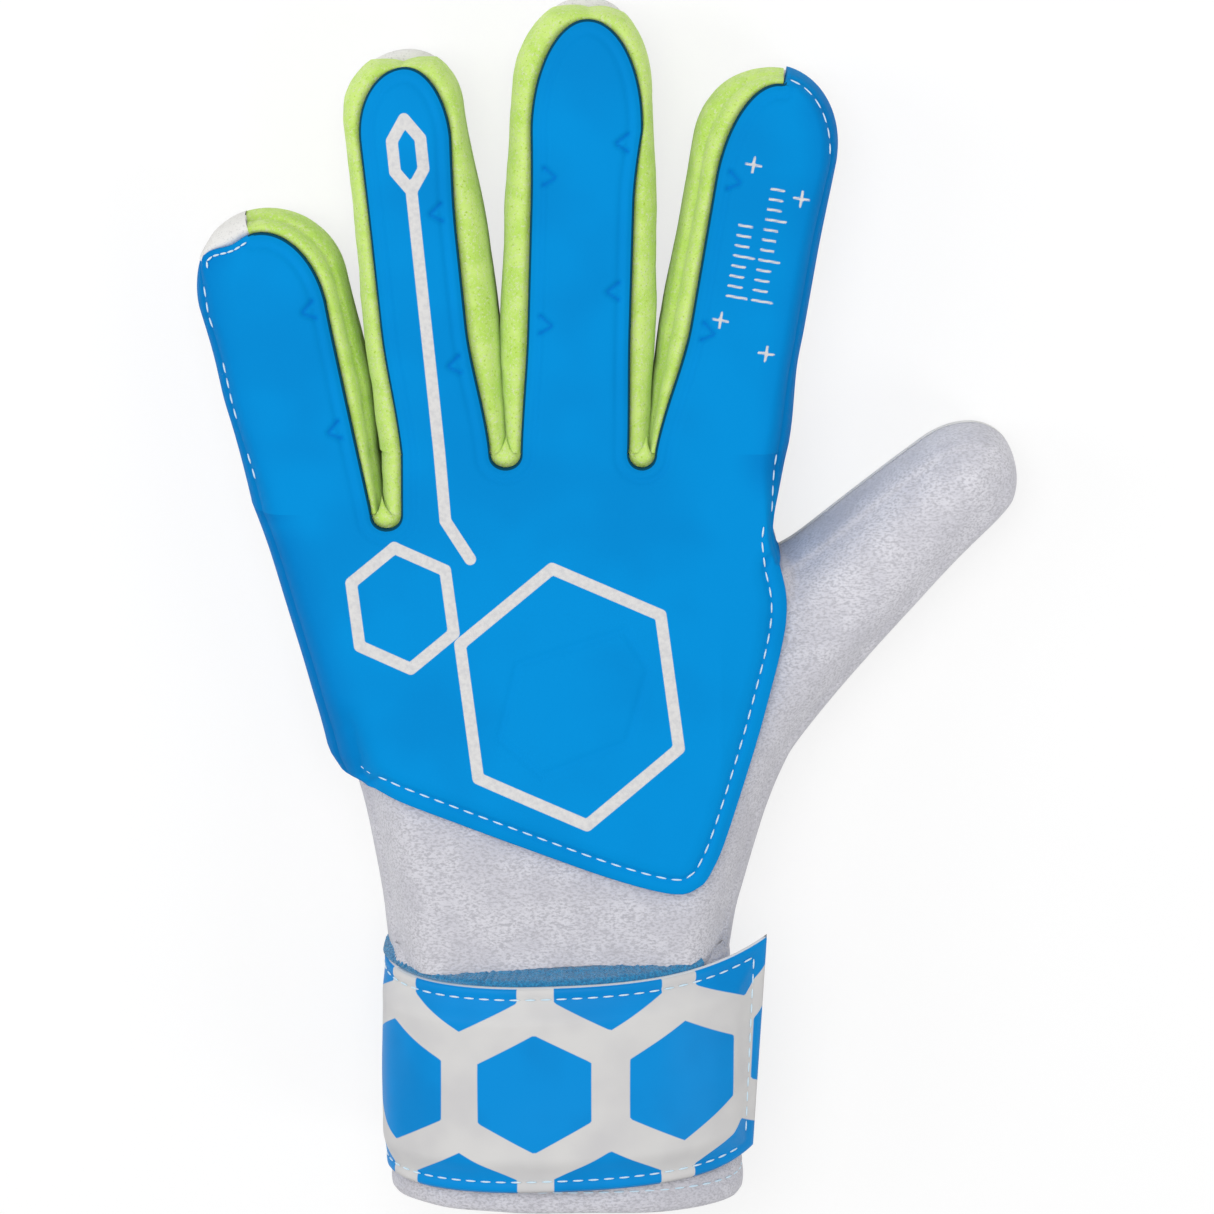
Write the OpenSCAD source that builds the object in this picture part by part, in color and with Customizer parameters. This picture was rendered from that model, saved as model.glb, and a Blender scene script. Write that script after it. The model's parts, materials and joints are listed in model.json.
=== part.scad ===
// Goalkeeper glove for a left hand, lying on its palm.
// X runs from the little finger to the thumb, Y from the cuff to the fingertips, Z out of the hand's back.
// The origin is on the flat underside of the palm, at its middle.

/* [Fingers] */
// Width of the little finger at its root
pinky_w = 26.6; // [25:0.2:27]
// Little finger, from its bend line to the centre of its round tip
pinky_len = 46.6; // [40:0.2:54]
// Radius of the little finger's tip
pinky_tip_r = 15.2; // [13.6:0.1:15.4]
// Width of the ring finger at its root
ring_w = 24.8; // [23.4:0.2:26]
// Ring finger, from its bend line to the centre of its round tip
ring_len = 68; // [60:0.5:76]
// Radius of the ring finger's tip
ring_tip_r = 12.8; // [12:0.1:13]
// Width of the middle finger at its root
middle_w = 28; // [26.6:0.2:29.4]
// Middle finger, from its bend line to the centre of its round tip
middle_len = 74; // [66:0.5:84]
// Radius of the middle finger's tip
middle_tip_r = 14.9; // [13.6:0.1:15.2]
// Width of the index finger at its root
index_w = 28.6; // [27:0.2:30]
// Index finger, from its bend line to the centre of its round tip
index_len = 61.5; // [55:0.5:70]
// Radius of the index finger's tip
index_tip_r = 15.2; // [13.8:0.1:15.4]
// Height of the back of a finger at its root
finger_root_h = 27; // [25:0.5:29]
// Height of the back of a finger near its tip
finger_tip_h = 23; // [22:0.5:25]

/* [Thumb] */
// Width of the thumb at its bend line
thumb_w = 26.6; // [24:0.2:28]
// Thumb, from its bend line to the centre of its round tip
thumb_len = 31.8; // [26:0.2:38]
// Radius of the thumb's tip
thumb_tip_r = 11.4; // [10.4:0.1:12.4]
// Height of the back of the thumb at its bend line
thumb_root_h = 26; // [24:0.5:28]
// Height of the back of the thumb near its tip
thumb_tip_h = 22; // [20:0.5:24]

/* [Hand] */
// Distance from the palm's middle to the bend line of the three long fingers
knuckle_y = 46; // [44:0.5:48]
// How far the little finger's bend line lies nearer the wrist
pinky_setback = 12; // [11:0.5:13]
// Height of the hand at the middle of the palm, under the foam
hand_h = 33; // [31:0.5:36]
// Width of the wrist where the cuff starts
wrist_w = 68; // [64:1:72]
// Distance from the palm's middle to the start of the cuff
wrist_y = 52; // [50:0.5:54]

/* [Cuff and strap] */
// Height of the cuff's oval
cuff_h = 40; // [36:1:44]
// Width of the wrist strap, along the forearm
strap_w = 45; // [38:1:47]
// Thickness of the wrist strap
strap_t = 2.6; // [1.8:0.1:3]
// Length of the folded hem that shows past the strap, at the cuff's open end
hem_len = 4.4; // [4:0.2:6]
// How far the strap climbs towards the fingers for each millimetre across the wrist
strap_tilt = 0.04; // [0:0.01:0.05]
// How far the strap's free end stands off the cuff
strap_lift = 2.5; // [1:0.5:4]

/* [Materials] */
// Thickness of the latex palm
palm_t = 5; // [4:0.25:6]
// Thickness of the foam on the back of the hand
foam_t = 4; // [3:0.25:4.5]
// Thickness of the gussets between the fingers
gusset_t = 1.4; // [1:0.1:1.8]
// Thickness of the knitted fabric at the wrist and thumb
knit_t = 1.5; // [1:0.1:2]
// Thickness of the inner lining
lining_t = 1.2; // [0.8:0.1:1.6]
// Thickness of the hook and of the loop patch
patch_t = 1; // [0.8:0.1:1.2]

/* [Hidden] */

// Clearances: between seamed pieces, on both sides of the curved layer between the foam and its
// lining, and across a bend line or between two fingers
seam = 0.25;
under_foam = 0.8;
under_lining = 0.6;
split = 0.5;

// Colours
blue = "#0a8bd8";
volt = "#c3e85a";
white = "#e6e6ea";
latex = "#eeeef0";

// The row of fingers at the bend line: its middle, its ends and the crotches between the fingers
knuckle_x = -6;
pinky_y = knuckle_y - pinky_setback;
row_w = pinky_w + ring_w + middle_w + index_w;
row_l = knuckle_x - row_w / 2;
row_r = knuckle_x + row_w / 2;
crotch_x = [row_l + pinky_w, row_l + pinky_w + ring_w, row_r - index_w];
// How deep a crotch reaches below the bend line beside it
crotch_depth = 4.4;

// How much of a gusset shows outside the foam: at an outer finger's rolled side, at the hand's sides,
// and between two fingers
side_show = 1.4;
hand_show = 2.2;
web_show = 4;

// A finger: root centre, length, splay, root half-width, tip radius, gusset width on the little-finger
// side and on the thumb side, the side on which the foam rolls down, and the height at its root
knuckle_h = finger_root_h - foam_t - seam;
pinky_root_h = finger_root_h + (hand_h - knuckle_h) * pinky_setback / knuckle_y;
pinky_root = [row_l + pinky_w / 2, pinky_y];
PINKY = [pinky_root, pinky_len, -12, pinky_w / 2, pinky_tip_r, side_show, web_show + 0.6, -1, pinky_root_h];
ring_root = [row_l + pinky_w + ring_w / 2, knuckle_y];
RING = [ring_root, ring_len, -5.8, ring_w / 2, ring_tip_r, web_show, web_show, 0, finger_root_h];
middle_root = [row_r - index_w - middle_w / 2, knuckle_y];
MIDDLE = [middle_root, middle_len, 1.6, middle_w / 2, middle_tip_r, web_show, 3.2, 0, finger_root_h];
index_root = [row_r - index_w / 2, knuckle_y];
INDEX = [index_root, index_len, 9.6, index_w / 2, index_tip_r, web_show, side_show, 1, finger_root_h];
// How far the blue back ends short of the fingertip, its crown across the finger, its fall at the tip
// and its drop at an outer side, where it rolls down over the last part of its half-width
tip_show = 3.4;
crown = 2;
tip_fall = 3;
roll_drop = 6.4;
roll_from = 0.5;
// How far the palm turns up at a fingertip and along its edges
tip_curl = 4;
edge_roll = 1.6;

// Thumb: the middle of its bend line and the way it points
thumb_splay = 47.4;
thumb_root = [59, 19.1];
thumb_dir = [sin(thumb_splay), cos(thumb_splay)];
thumb_side = [cos(thumb_splay), -sin(thumb_splay)];
thumb_up = thumb_root - thumb_side * thumb_w / 2;
thumb_lo = thumb_root + thumb_side * thumb_w / 2;

// Outline of the hand, as three open sides
wrist_x = 1.8;
wrist_l = wrist_x - wrist_w / 2;
wrist_r = wrist_x + wrist_w / 2;
heel = [-44.6, -11.5];
thumb_crotch = [46, 28.6];
LEFT = [[wrist_l, -wrist_y], [-34.4, -36], [-37.2, -24.6], [-40.6, -17.6], heel, [row_l, pinky_y]];
UPPER_RIGHT = [[row_r, knuckle_y], [45.8, 34], thumb_crotch, thumb_up];
LOWER_RIGHT = [thumb_lo, [55, -5.4], [47, -17], [42.4, -28], [38.6, -40], [wrist_r, -wrist_y]];
// Radius over which the hand rounds down to its sides, and the exponent of that curve
side_round = 12;
side_power = 2.4;
hand_low = palm_t + seam;

// Outline of the blue back: its slanted hem and its edge over the base of the thumb
HEM = [[-42.4, -15.4], [-39.4, -19.6], [-34, -22.4], [-10, -31], [11, -38.6], [20, -41.4], [28, -42.4]];
THUMB_EDGE = [[28, -42.4], [31.4, -39.6], [34.4, -33], [39.6, -16.6], [44, -2.5], [46.3, 9],
              [46.6, 15.6], [44.8, 22.5], [43.8, 29], [row_r - hand_show, knuckle_y - split / 2]];
lap = 5.5;

// Cuff: an oval whose lowest line is the strap's thickness above the floor
cuff_a = wrist_w / 2;
cuff_b = cuff_h / 2;
cuff_z = strap_t + seam + cuff_b;
cuff_power = 2.4;
strap_y = -wrist_y - 2;
cuff_end = strap_y - strap_w - strap_tilt * cuff_a - seam - hem_len;
// Angles round the cuff, from the thumb side over the back: the flap's hinge, its free end and the
// start of the base
flap_start = 190;
flap_end = 12;
base_end = 335;
// The hook patch's angles, how much further the loop patch reaches, and its margin to the strap's edges
patch_from = 39;
patch_to = 67;
patch_spare = 11;
patch_margin = 3;

function lerp(a, b, k) = a + (b - a) * k;
function clamp(k) = min(1, max(0, k));
function power(x, e) = sign(x) * pow(abs(x), e);
function unit(v) = v / norm(v);
function total(v, i = 0) = i < len(v) ? v[i] + total(v, i + 1) : 0;

// A point at the share k of a polyline's length
function piece_lengths(line) = [for (i = [1 : len(line) - 1]) norm(line[i] - line[i - 1])];
function walk(line, pieces, left, i = 0) =
    left <= pieces[i] || i == len(pieces) - 1
        ? lerp(line[i], line[i + 1], clamp(left / pieces[i]))
        : walk(line, pieces, left - pieces[i], i + 1);
function along(line, k) = let (pieces = piece_lengths(line)) walk(line, pieces, k * total(pieces));

// The distance from p to a polyline that runs clockwise round the hand, with the way inwards from there
function to_segment(p, a, b) =
    let (way = b - a, k = clamp((p - a) * way / (way * way)), at = lerp(a, b, k), n = unit([way[1], -way[0]]))
    [norm(p - at), (p - at) * n > 0.3 ? unit(p - at) : n];
function nearer(a, b) = a[0] <= b[0] ? a : b;
function to_line(p, line, i = 0) =
    i == len(line) - 2
        ? to_segment(p, line[i], line[i + 1])
        : nearer(to_segment(p, line[i], line[i + 1]), to_line(p, line, i + 1));
function to_side(p) = nearer(to_line(p, LEFT), nearer(to_line(p, UPPER_RIGHT), to_line(p, LOWER_RIGHT)));

// The hand's height above its sides at a place, and the surface at an offset along its normal
wrist_h = cuff_z + cuff_b;
function crest(p) =
    let (down = clamp(-p[1] / wrist_y), up = clamp(p[1] / knuckle_y), out = clamp((p[0] - 34) / 34))
    lerp(lerp(lerp(hand_h, wrist_h, down), knuckle_h, up), thumb_root_h, out * (1 - down)) - hand_low;
function on_hand(p, off) =
    let (near = to_side(p), q = clamp(near[0] / side_round),
         f = pow(1 - pow(1 - q, side_power), 1 / side_power), rise = crest(p),
         slope = q >= 1 ? 0 : rise / side_round * pow((1 - q) / max(f, 0.05), side_power - 1),
         flat = sqrt(1 + slope * slope))
    [p[0] - near[1][0] * off * slope / flat, p[1] - near[1][1] * off * slope / flat,
     hand_low + rise * f + off / flat];

// A net of points inside four boundary lines: bottom and top have one point per column, left and right
// one per row
function net(bottom, top, left, right) =
    let (n = len(bottom) - 1, m = len(left) - 1)
    [for (i = [0 : m]) let (v = i / m)
        [for (j = [0 : n]) let (u = j / n)
            lerp(bottom[j], top[j], v) + lerp(left[i], right[i], u)
            - lerp(lerp(bottom[0], bottom[n], u), lerp(top[0], top[n], u), v)]];
function resample(line, shares) = [for (k = shares) along(line, k)];
function steps(n) = [for (i = [0 : n]) i / n];

// A closed solid between two nets of the same size
module sheet(outer, inner) {
    rows = len(outer);
    cols = len(outer[0]);
    back = rows * cols;
    function at(i, j) = i * cols + j;
    polyhedron(
        points = concat([for (row = outer) each row], [for (row = inner) each row]),
        faces = concat(
            [for (i = [0 : rows - 2], j = [0 : cols - 2]) each
                let (a = at(i, j), b = at(i, j + 1), c = at(i + 1, j + 1), d = at(i + 1, j))
                [[a, c, b], [a, d, c], [back + a, back + b, back + c], [back + a, back + c, back + d]]],
            [for (j = [0 : cols - 2]) each
                let (a = at(0, j), b = at(0, j + 1), c = at(rows - 1, j), d = at(rows - 1, j + 1))
                [[a, b, back + b], [a, back + b, back + a], [c, back + d, d], [c, back + c, back + d]]],
            [for (i = [0 : rows - 2]) each
                let (a = at(i, 0), b = at(i + 1, 0), c = at(i, cols - 1), d = at(i + 1, cols - 1))
                [[a, back + b, b], [a, back + a, back + b], [c, d, back + d], [c, back + d, back + c]]]));
}

// A closed tube between two nets whose rows are closed rings
module tube(outer, inner) {
    rows = len(outer);
    cols = len(outer[0]);
    back = rows * cols;
    function at(i, j) = i * cols + j % cols;
    polyhedron(
        points = concat([for (row = outer) each row], [for (row = inner) each row]),
        faces = concat(
            [for (i = [0 : rows - 2], j = [0 : cols - 1]) each
                let (a = at(i, j), b = at(i, j + 1), c = at(i + 1, j + 1), d = at(i + 1, j))
                [[a, c, b], [a, d, c], [back + a, back + b, back + c], [back + a, back + c, back + d]]],
            [for (j = [0 : cols - 1]) each
                let (a = at(0, j), b = at(0, j + 1), c = at(rows - 1, j), d = at(rows - 1, j + 1))
                [[a, b, back + b], [a, back + b, back + a], [c, back + d, d], [c, back + c, back + d]]]));
}

// A finger's plan: half-width s along it, and the place of a point s along and t across it
function half_width(s, reach, root, tip) =
    s <= reach ? lerp(root, tip, s / reach) : sqrt(max(0, tip * tip - pow(s - reach, 2)));
function place(f, s, t) = f[0] + s * [sin(f[2]), cos(f[2])] + t * [cos(f[2]), -sin(f[2])];
function root_s(f, t) = (split / 2 + t * sin(f[2])) / cos(f[2]);
function mean_show(f) = (f[5] + f[6]) / 2;
function blue_tip(f) = f[4] - mean_show(f);
function blue_reach(f) = f[1] + f[4] - tip_show - blue_tip(f);
function blue_mid(f) = (f[5] - f[6]) / 2;
function blue_half(f, s) = half_width(s, blue_reach(f), f[3] - split / 2 - mean_show(f), blue_tip(f));
// Heights: the back over a station s, and the palm's turned-up underside
function past_tip(f, s) = clamp((s - f[1]) / f[4]);
function back_h(f, s) =
    lerp(f[8], finger_tip_h, clamp(s / f[1])) - tip_fall * pow(past_tip(f, s), 2);
function roll(f, s, u) =
    roll_drop * (1 - past_tip(f, s)) * pow(clamp((f[7] * u - roll_from) / (1 - roll_from)), 2.5);
function curl(f, s) = tip_curl * pow(past_tip(f, s), 2);

// Stations along a finger, closer together round its tip, and the columns across it
function stations(reach, tip) = [0, 0.25 * reach, 0.5 * reach, 0.75 * reach, reach,
                                 reach + 0.4 * tip, reach + 0.7 * tip, reach + 0.88 * tip, reach + 0.97 * tip];
ACROSS = [-1, -0.6, -0.2, 0.2, 0.6, 1];
ROLLED = [-1, -0.9, -0.76, -0.6, -0.2, 0.2, 0.6, 1];
PALM_ACROSS = [-1, -0.88, -0.5, 0, 0.5, 0.88, 1];

module finger_back(f) {
    reach = blue_reach(f);
    tip = blue_tip(f);
    rows = stations(reach, tip);
    columns = f[7] == 0 ? ACROSS : f[7] < 0 ? ROLLED : [for (i = [len(ROLLED) - 1 : -1 : 0]) -ROLLED[i]];
    top = [for (s = rows) [for (u = columns)
        let (t = blue_mid(f) + u * blue_half(f, s), shift = root_s(f, t) * (1 - s / rows[len(rows) - 1]),
             p = place(f, s + shift, t))
        [p[0], p[1], back_h(f, s) - crown * u * u - roll(f, s, u)]]];
    color(blue) sheet(top, [for (row = top) [for (q = row) q - [0, 0, foam_t]]]);
}

module finger_palm(f) {
    inset = 0.8;
    tip = f[4] - inset;
    rows = stations(f[1], tip);
    low = [for (s = rows) [for (u = PALM_ACROSS)
        let (t = u * half_width(s, f[1], f[3] - split / 2 - inset, tip),
             shift = root_s(f, t) * (1 - s / rows[len(rows) - 1]), p = place(f, s + shift, t))
        [p[0], p[1], curl(f, s) + edge_roll * pow(abs(u), 12)]]];
    color(latex) sheet([for (row = low) [for (q = row) q + [0, 0, palm_t]]], low);
}

// A gusset: each path entry is a place on the back's edge, the outward normal, the bulge beyond that
// edge, and the heights of its lower and upper edges
module gusset(path) {
    profile = [[0.55, 0], [0.9, 0.2], [1, 0.45], [0.75, 0.75], [-0.05, 1]];
    function face(depth) = [for (e = path) [for (k = profile)
        let (p = e[0] + e[1] * (e[2] * k[0] - depth)) [p[0], p[1], lerp(e[3], e[4], k[1])]]];
    sheet(face(0), face(gusset_t));
}

// Half of a finger's outline: side -1 is towards the little finger, 1 towards the thumb
function finger_path(f, side) =
    let (reach = blue_reach(f), tip = blue_tip(f), show = side < 0 ? f[5] : f[6],
         out = side * [cos(f[2]), -sin(f[2])], ahead = [sin(f[2]), cos(f[2])],
         heights = function(s) [curl(f, s + show / 2) + edge_roll + palm_t + seam,
                                back_h(f, s) - crown - roll(f, s, side) - foam_t - seam],
         lean = function(t) max(root_s(f, t + side * show), root_s(f, t - side * 2 * gusset_t)))
    concat(
        [for (k = [0, 0.25, 0.5, 0.75])
            let (t = blue_mid(f) + side * blue_half(f, k * reach))
            concat([place(f, k * reach + lean(t) * (1 - k), t), out, show], heights(k * reach))],
        [for (turn = [0, 20, 40, 60, 78])
            let (n = out * cos(turn) + ahead * sin(turn), s = reach + tip * sin(turn))
            concat([place(f, reach, blue_mid(f)) + n * tip, n, lerp(show, tip_show, turn / 90)], heights(s))]);

module finger_gusset(f, side, tone) {
    color(tone) gusset(finger_path(f, side));
}

// The crotch between two fingers: a funnel round its lower end, with a straight arm up the finger on
// its thumb side
web_reach = web_show - split;
function web_top(i) = i == 0 ? pinky_y : knuckle_y;
function web_y(i) = web_top(i) - crotch_depth + web_reach;
module web(i) {
    reach = web_reach;
    top = web_top(i);
    middle = [crotch_x[i], web_y(i)];
    arm = knuckle_y - split / 2;
    turn = [for (a = [180 : 30 : 360]) [middle + reach * [cos(a), sin(a)], -[cos(a), sin(a)]]];
    ends = concat([[[middle[0] - reach, top - split / 2], [1, 0]]], turn,
                  [[[middle[0] + reach, arm], [-1, 0]]]);
    low = palm_t + seam;
    high = finger_root_h - crown - foam_t - seam;
    color(volt) gusset([for (e = ends) [e[0], e[1], reach - split / 2, low, high - 0.6]]);
}

// The blue back of the hand: the columns of its upper edge stop at the bend lines and dip at the crotches
function finger_top(f) =
    let (left = f[7] < 0 ? hand_show : f[5], right = f[7] > 0 ? hand_show : f[6])
    [for (k = steps(5)) f[0] + [lerp(-f[3] + left + split / 2, f[3] - right - split / 2, k), -split / 2]];
function dip(i) = [[crotch_x[i] - 1.8, (i == 0 ? pinky_y : knuckle_y) - crotch_depth - 0.3],
                   [crotch_x[i] + 1.8, (i == 0 ? pinky_y : knuckle_y) - crotch_depth - 0.3]];
FINGER_EDGE = concat(finger_top(PINKY), dip(0), [[crotch_x[0] + web_show, pinky_y - crotch_depth + 2]],
                     finger_top(RING), dip(1), finger_top(MIDDLE), dip(2), finger_top(INDEX));
function share_x(line) = let (first = line[0][0], last = line[len(line) - 1][0])
    [for (p = line) (p[0] - first) / (last - first)];

function raise(grid, off) = [for (row = grid) [for (p = row) on_hand(p, off)]];

module backhand() {
    rows = steps(11);
    grid = net(resample(HEM, share_x(FINGER_EDGE)), FINGER_EDGE,
        resample([HEM[0], FINGER_EDGE[0]], rows), resample(THUMB_EDGE, rows));
    color(blue) sheet(raise(grid, under_foam + foam_t), raise(grid, under_foam));
}

// The lining ends a lap inside the foam's edge and below the crotches
below_crotch = crotch_depth + edge_roll;
LINING_TOP = [[row_l + 2 * lap, pinky_y - below_crotch], [crotch_x[0], pinky_y - below_crotch],
              [crotch_x[0] + pinky_setback * 3 / 4, knuckle_y - below_crotch],
              [row_r - lap, knuckle_y - below_crotch]];
module backhand_lining() {
    rows = steps(8);
    columns = steps(14);
    hem = concat([HEM[0] + [lap, lap]], [for (i = [2 : len(HEM) - 1]) HEM[i] + [-1, lap]]);
    edge = concat([hem[len(hem) - 1]], [for (i = [2 : 7]) THUMB_EDGE[i] - [lap, 0]], [LINING_TOP[3]]);
    grid = net(resample(hem, columns), resample(LINING_TOP, columns),
        resample([hem[0], LINING_TOP[0]], rows), resample(edge, rows));
    color(white) sheet(raise(grid, -under_lining), raise(grid, -under_lining - lining_t));
}

// The knitted fabric, tucked under the foam's edge: the wrist, and the base of the thumb
tuck = lap - 1;
wrist_top = [28.2, -38.2];
module knit(bottom, top, left, right, columns) {
    rows = steps(8);
    grid = net(resample(bottom, columns), resample(top, columns), resample(left, rows), resample(right, rows));
    color(white) sheet(raise(grid, 0), raise(grid, -knit_t));
}

module wrist_fabric() {
    low = -wrist_y + seam;
    top = concat([LEFT[3]], [for (i = [2 : 5]) HEM[i] + [0, tuck]], [wrist_top, LOWER_RIGHT[4]]);
    left = concat([[wrist_l, low]], [for (i = [1 : 3]) LEFT[i]]);
    knit([left[0], [wrist_r, low]], top, left, [[wrist_r, low], LOWER_RIGHT[4]],
        [0, 0.05, 0.1, 0.2, 0.3, 0.4, 0.5, 0.6, 0.7, 0.78, 0.85, 0.9, 0.95, 1]);
}

module thumb_fabric() {
    start = LOWER_RIGHT[4] + [0, seam];
    left = concat([wrist_top + [0, seam]], [for (i = [2 : 7]) THUMB_EDGE[i] - [tuck, 0]],
                  [thumb_crotch - [4, 0]]);
    bend = split / 2 * thumb_dir;
    top = [left[len(left) - 1], thumb_crotch, thumb_up - bend, thumb_lo - bend];
    right = concat([start], [for (i = [3 : -1 : 1]) LOWER_RIGHT[i]], [top[3]]);
    knit([left[0], start], top, left, right, [0, 0.1, 0.2, 0.3, 0.4, 0.5, 0.6, 0.7, 0.8, 0.87, 0.93, 0.97, 1]);
}

// The latex palm of the hand, exact and flat, and its lining
module palm_plate(by, low, thick) {
    cut = split / 2;
    left = [for (p = LEFT) [p[0] + by, min(p[1], pinky_y - cut)]];
    step = [[crotch_x[0] + by * 1.2, pinky_y - cut], [crotch_x[0] + by * 1.2, knuckle_y - cut]];
    right = [for (i = [0 : 2]) [UPPER_RIGHT[i][0] - by, min(UPPER_RIGHT[i][1], knuckle_y - cut)]];
    thumb = [thumb_up + by * thumb_side - cut * thumb_dir, thumb_lo - by * thumb_side - cut * thumb_dir];
    heel_side = [for (i = [1 : len(LOWER_RIGHT) - 1]) LOWER_RIGHT[i] - [by, 0]];
    translate([0, 0, low]) linear_extrude(thick) polygon(concat(left, step, right, thumb, heel_side));
}

module palm() { color(latex) palm_plate(0.8, 0, palm_t); }
module palm_lining() {
    color(white) difference() {
        palm_plate(4, palm_t, lining_t);
        for (i = [0 : 2])
            translate([crotch_x[i], web_y(i), 0]) cylinder(h = palm_t * 2, r = web_show + gusset_t + seam);
    }
}

// The blue gussets along the hand's two sides, as high as the fabric's straight part above the palm
side_gusset_h = (knuckle_h - hand_low) / 2;
module side_gusset(line) {
    last = len(line) - 1;
    color(blue) gusset([for (i = [0 : last])
        let (way = line[min(i + 1, last)] - line[max(i - 1, 0)], n = unit([-way[1], way[0]]))
        [line[i] - n * hand_show, n, hand_show, hand_low, hand_low + side_gusset_h]]);
}

module side_gusset_pinky() {
    root = LEFT[len(LEFT) - 1];
    side_gusset([for (k = [0.08, 0.35, 0.65, 0.98]) lerp(heel, root, k)]);
}
module side_gusset_index() {
    side_gusset([[row_r, knuckle_y - split / 2], UPPER_RIGHT[1], thumb_crotch + [0, 1]]);
}

// The thumb: a knitted shell over a latex sole
function thumb_place(s, t) = thumb_root + s * thumb_dir + t * thumb_side;
module thumb_back() {
    rows = stations(thumb_len, thumb_tip_r);
    arc = [for (a = [180 : -15 : 0]) [power(cos(a), 0.8), pow(max(sin(a), 0), 0.8)]];
    function shell(by) = [for (s = rows) let (
            end = clamp((s - thumb_len) / thumb_tip_r),
            half = half_width(s, thumb_len, thumb_w / 2, thumb_tip_r) - by,
            rise = lerp(thumb_root_h, thumb_tip_h, s / thumb_len) - hand_low,
            high = rise * sqrt(1 - 0.6 * end * end) - by)
        [for (k = arc) let (p = thumb_place(max(s, split / 2) - (end > 0.9 ? by : 0), max(half, 1.6) * k[0]))
            [p[0], p[1], hand_low + max(high, 2) * k[1]]]];
    color(white) sheet(shell(0), shell(knit_t));
}

module thumb_palm() {
    inset = 0.8;
    rows = stations(thumb_len, thumb_tip_r - inset);
    low = [for (s = rows) [for (u = PALM_ACROSS)
        let (half = half_width(s, thumb_len, thumb_w / 2 - inset, thumb_tip_r - inset),
             p = thumb_place(max(s, split / 2), u * half))
        [p[0], p[1], 0]]];
    color(latex) sheet([for (row = low) [for (q = row) q + [0, 0, palm_t]]], low);
}

// The cuff's oval at an angle round it and an offset from its surface
function oval(a, off) = [wrist_x + (cuff_a + off) * power(cos(a), 2 / cuff_power),
                         cuff_z + (cuff_b + off) * power(sin(a), 2 / cuff_power)];
function ring(y, off) = [for (a = [0 : 12 : 348]) let (p = oval(a, off)) [p[0], y, p[1]]];

module cuff_band() {
    top = -wrist_y - seam;
    low = cuff_end + hem_len + seam;
    ys = [top, (top + low) / 2, low];
    color(white) tube([for (y = ys) ring(y, 0)], [for (y = ys) ring(y, -knit_t)]);
}

module cuff_hem() {
    ys = [cuff_end + hem_len, cuff_end + hem_len / 2, cuff_end];
    color(white) tube([for (y = ys) ring(y, 0.4)], [for (y = ys) ring(y, -2 * knit_t)]);
}

// The strap at an angle round the cuff: close to it at the hinge, over the patches on the back, and
// lifted at its free end
function strap_off(a) = seam + (2 * patch_t + 2 * seam) * clamp((flap_start - a) / 90)
    + strap_lift * pow(clamp((50 - a) / (50 - flap_end)), 2);
function band(angles, off, on_strap, y0, y1) = [for (y = [y0, lerp(y0, y1, 0.5), y1])
    [for (a = angles) let (p = oval(a, on_strap ? strap_off(a) + off : off))
        [p[0], y + strap_tilt * (p[0] - wrist_x), p[1]]]];

module strap_base() {
    angles = [for (k = steps(14)) lerp(base_end, flap_start + 1, k)];
    y1 = strap_y - strap_w;
    color(blue)
        sheet(band(angles, seam + strap_t, false, strap_y, y1), band(angles, seam, false, strap_y, y1));
}

module strap_flap() {
    angles = [for (k = steps(20)) lerp(flap_start, flap_end, k)];
    y1 = strap_y - strap_w;
    color(blue) sheet(band(angles, strap_t, true, strap_y, y1), band(angles, 0, true, strap_y, y1));
}

module hook_patch() {
    angles = [for (k = steps(6)) lerp(patch_to, patch_from, k)];
    y0 = strap_y - patch_margin - 1;
    y1 = strap_y - strap_w + patch_margin + 1;
    gap = seam * 0.4;
    color(white) sheet(band(angles, -gap, true, y0, y1), band(angles, -gap - patch_t, true, y0, y1));
}

module loop_patch() {
    angles = [for (k = steps(8)) lerp(patch_to + patch_spare, patch_from - 2 * patch_spare, k)];
    y0 = strap_y - patch_margin;
    y1 = strap_y - strap_w + patch_margin;
    gap = seam * 0.4;
    color(blue) sheet(band(angles, gap + patch_t, false, y0, y1), band(angles, gap, false, y0, y1));
}

backhand();
backhand_lining();
palm();
palm_lining();
side_gusset_pinky();
side_gusset_index();
web(0);  // web_pinky_ring
web(1);  // web_ring_middle
web(2);  // web_middle_index
wrist_fabric();
thumb_fabric();
cuff_band();
cuff_hem();
loop_patch();
strap_base();
strap_flap();
hook_patch();
thumb_back();
thumb_palm();
finger_back(PINKY);  // pinky_back
finger_palm(PINKY);  // pinky_palm
finger_gusset(PINKY, -1, blue);  // pinky_gusset_outer
finger_gusset(PINKY, 1, volt);  // pinky_gusset_inner
finger_back(RING);  // ring_back
finger_palm(RING);  // ring_palm
finger_gusset(RING, -1, volt);  // ring_gusset_outer
finger_gusset(RING, 1, volt);  // ring_gusset_inner
finger_back(MIDDLE);  // middle_back
finger_palm(MIDDLE);  // middle_palm
finger_gusset(MIDDLE, -1, volt);  // middle_gusset_outer
finger_gusset(MIDDLE, 1, volt);  // middle_gusset_inner
finger_back(INDEX);  // index_back
finger_palm(INDEX);  // index_palm
finger_gusset(INDEX, -1, volt);  // index_gusset_inner
finger_gusset(INDEX, 1, blue);  // index_gusset_outer
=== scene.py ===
# %% [markdown]
# # A padded goalkeeper's glove
# The glove lies on its palm: X runs from the little finger to the thumb, Y from the cuff to the fingertips and
# Z out of the back of the hand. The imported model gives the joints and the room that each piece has. Every piece
# here is a sewn part of the real glove: foam, knit, latex, tape and thread.

# %% Load the frame
import json
import math
from types import SimpleNamespace

import bmesh
import bpy
import numpy as np
from mathutils import Matrix, Vector, noise


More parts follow.
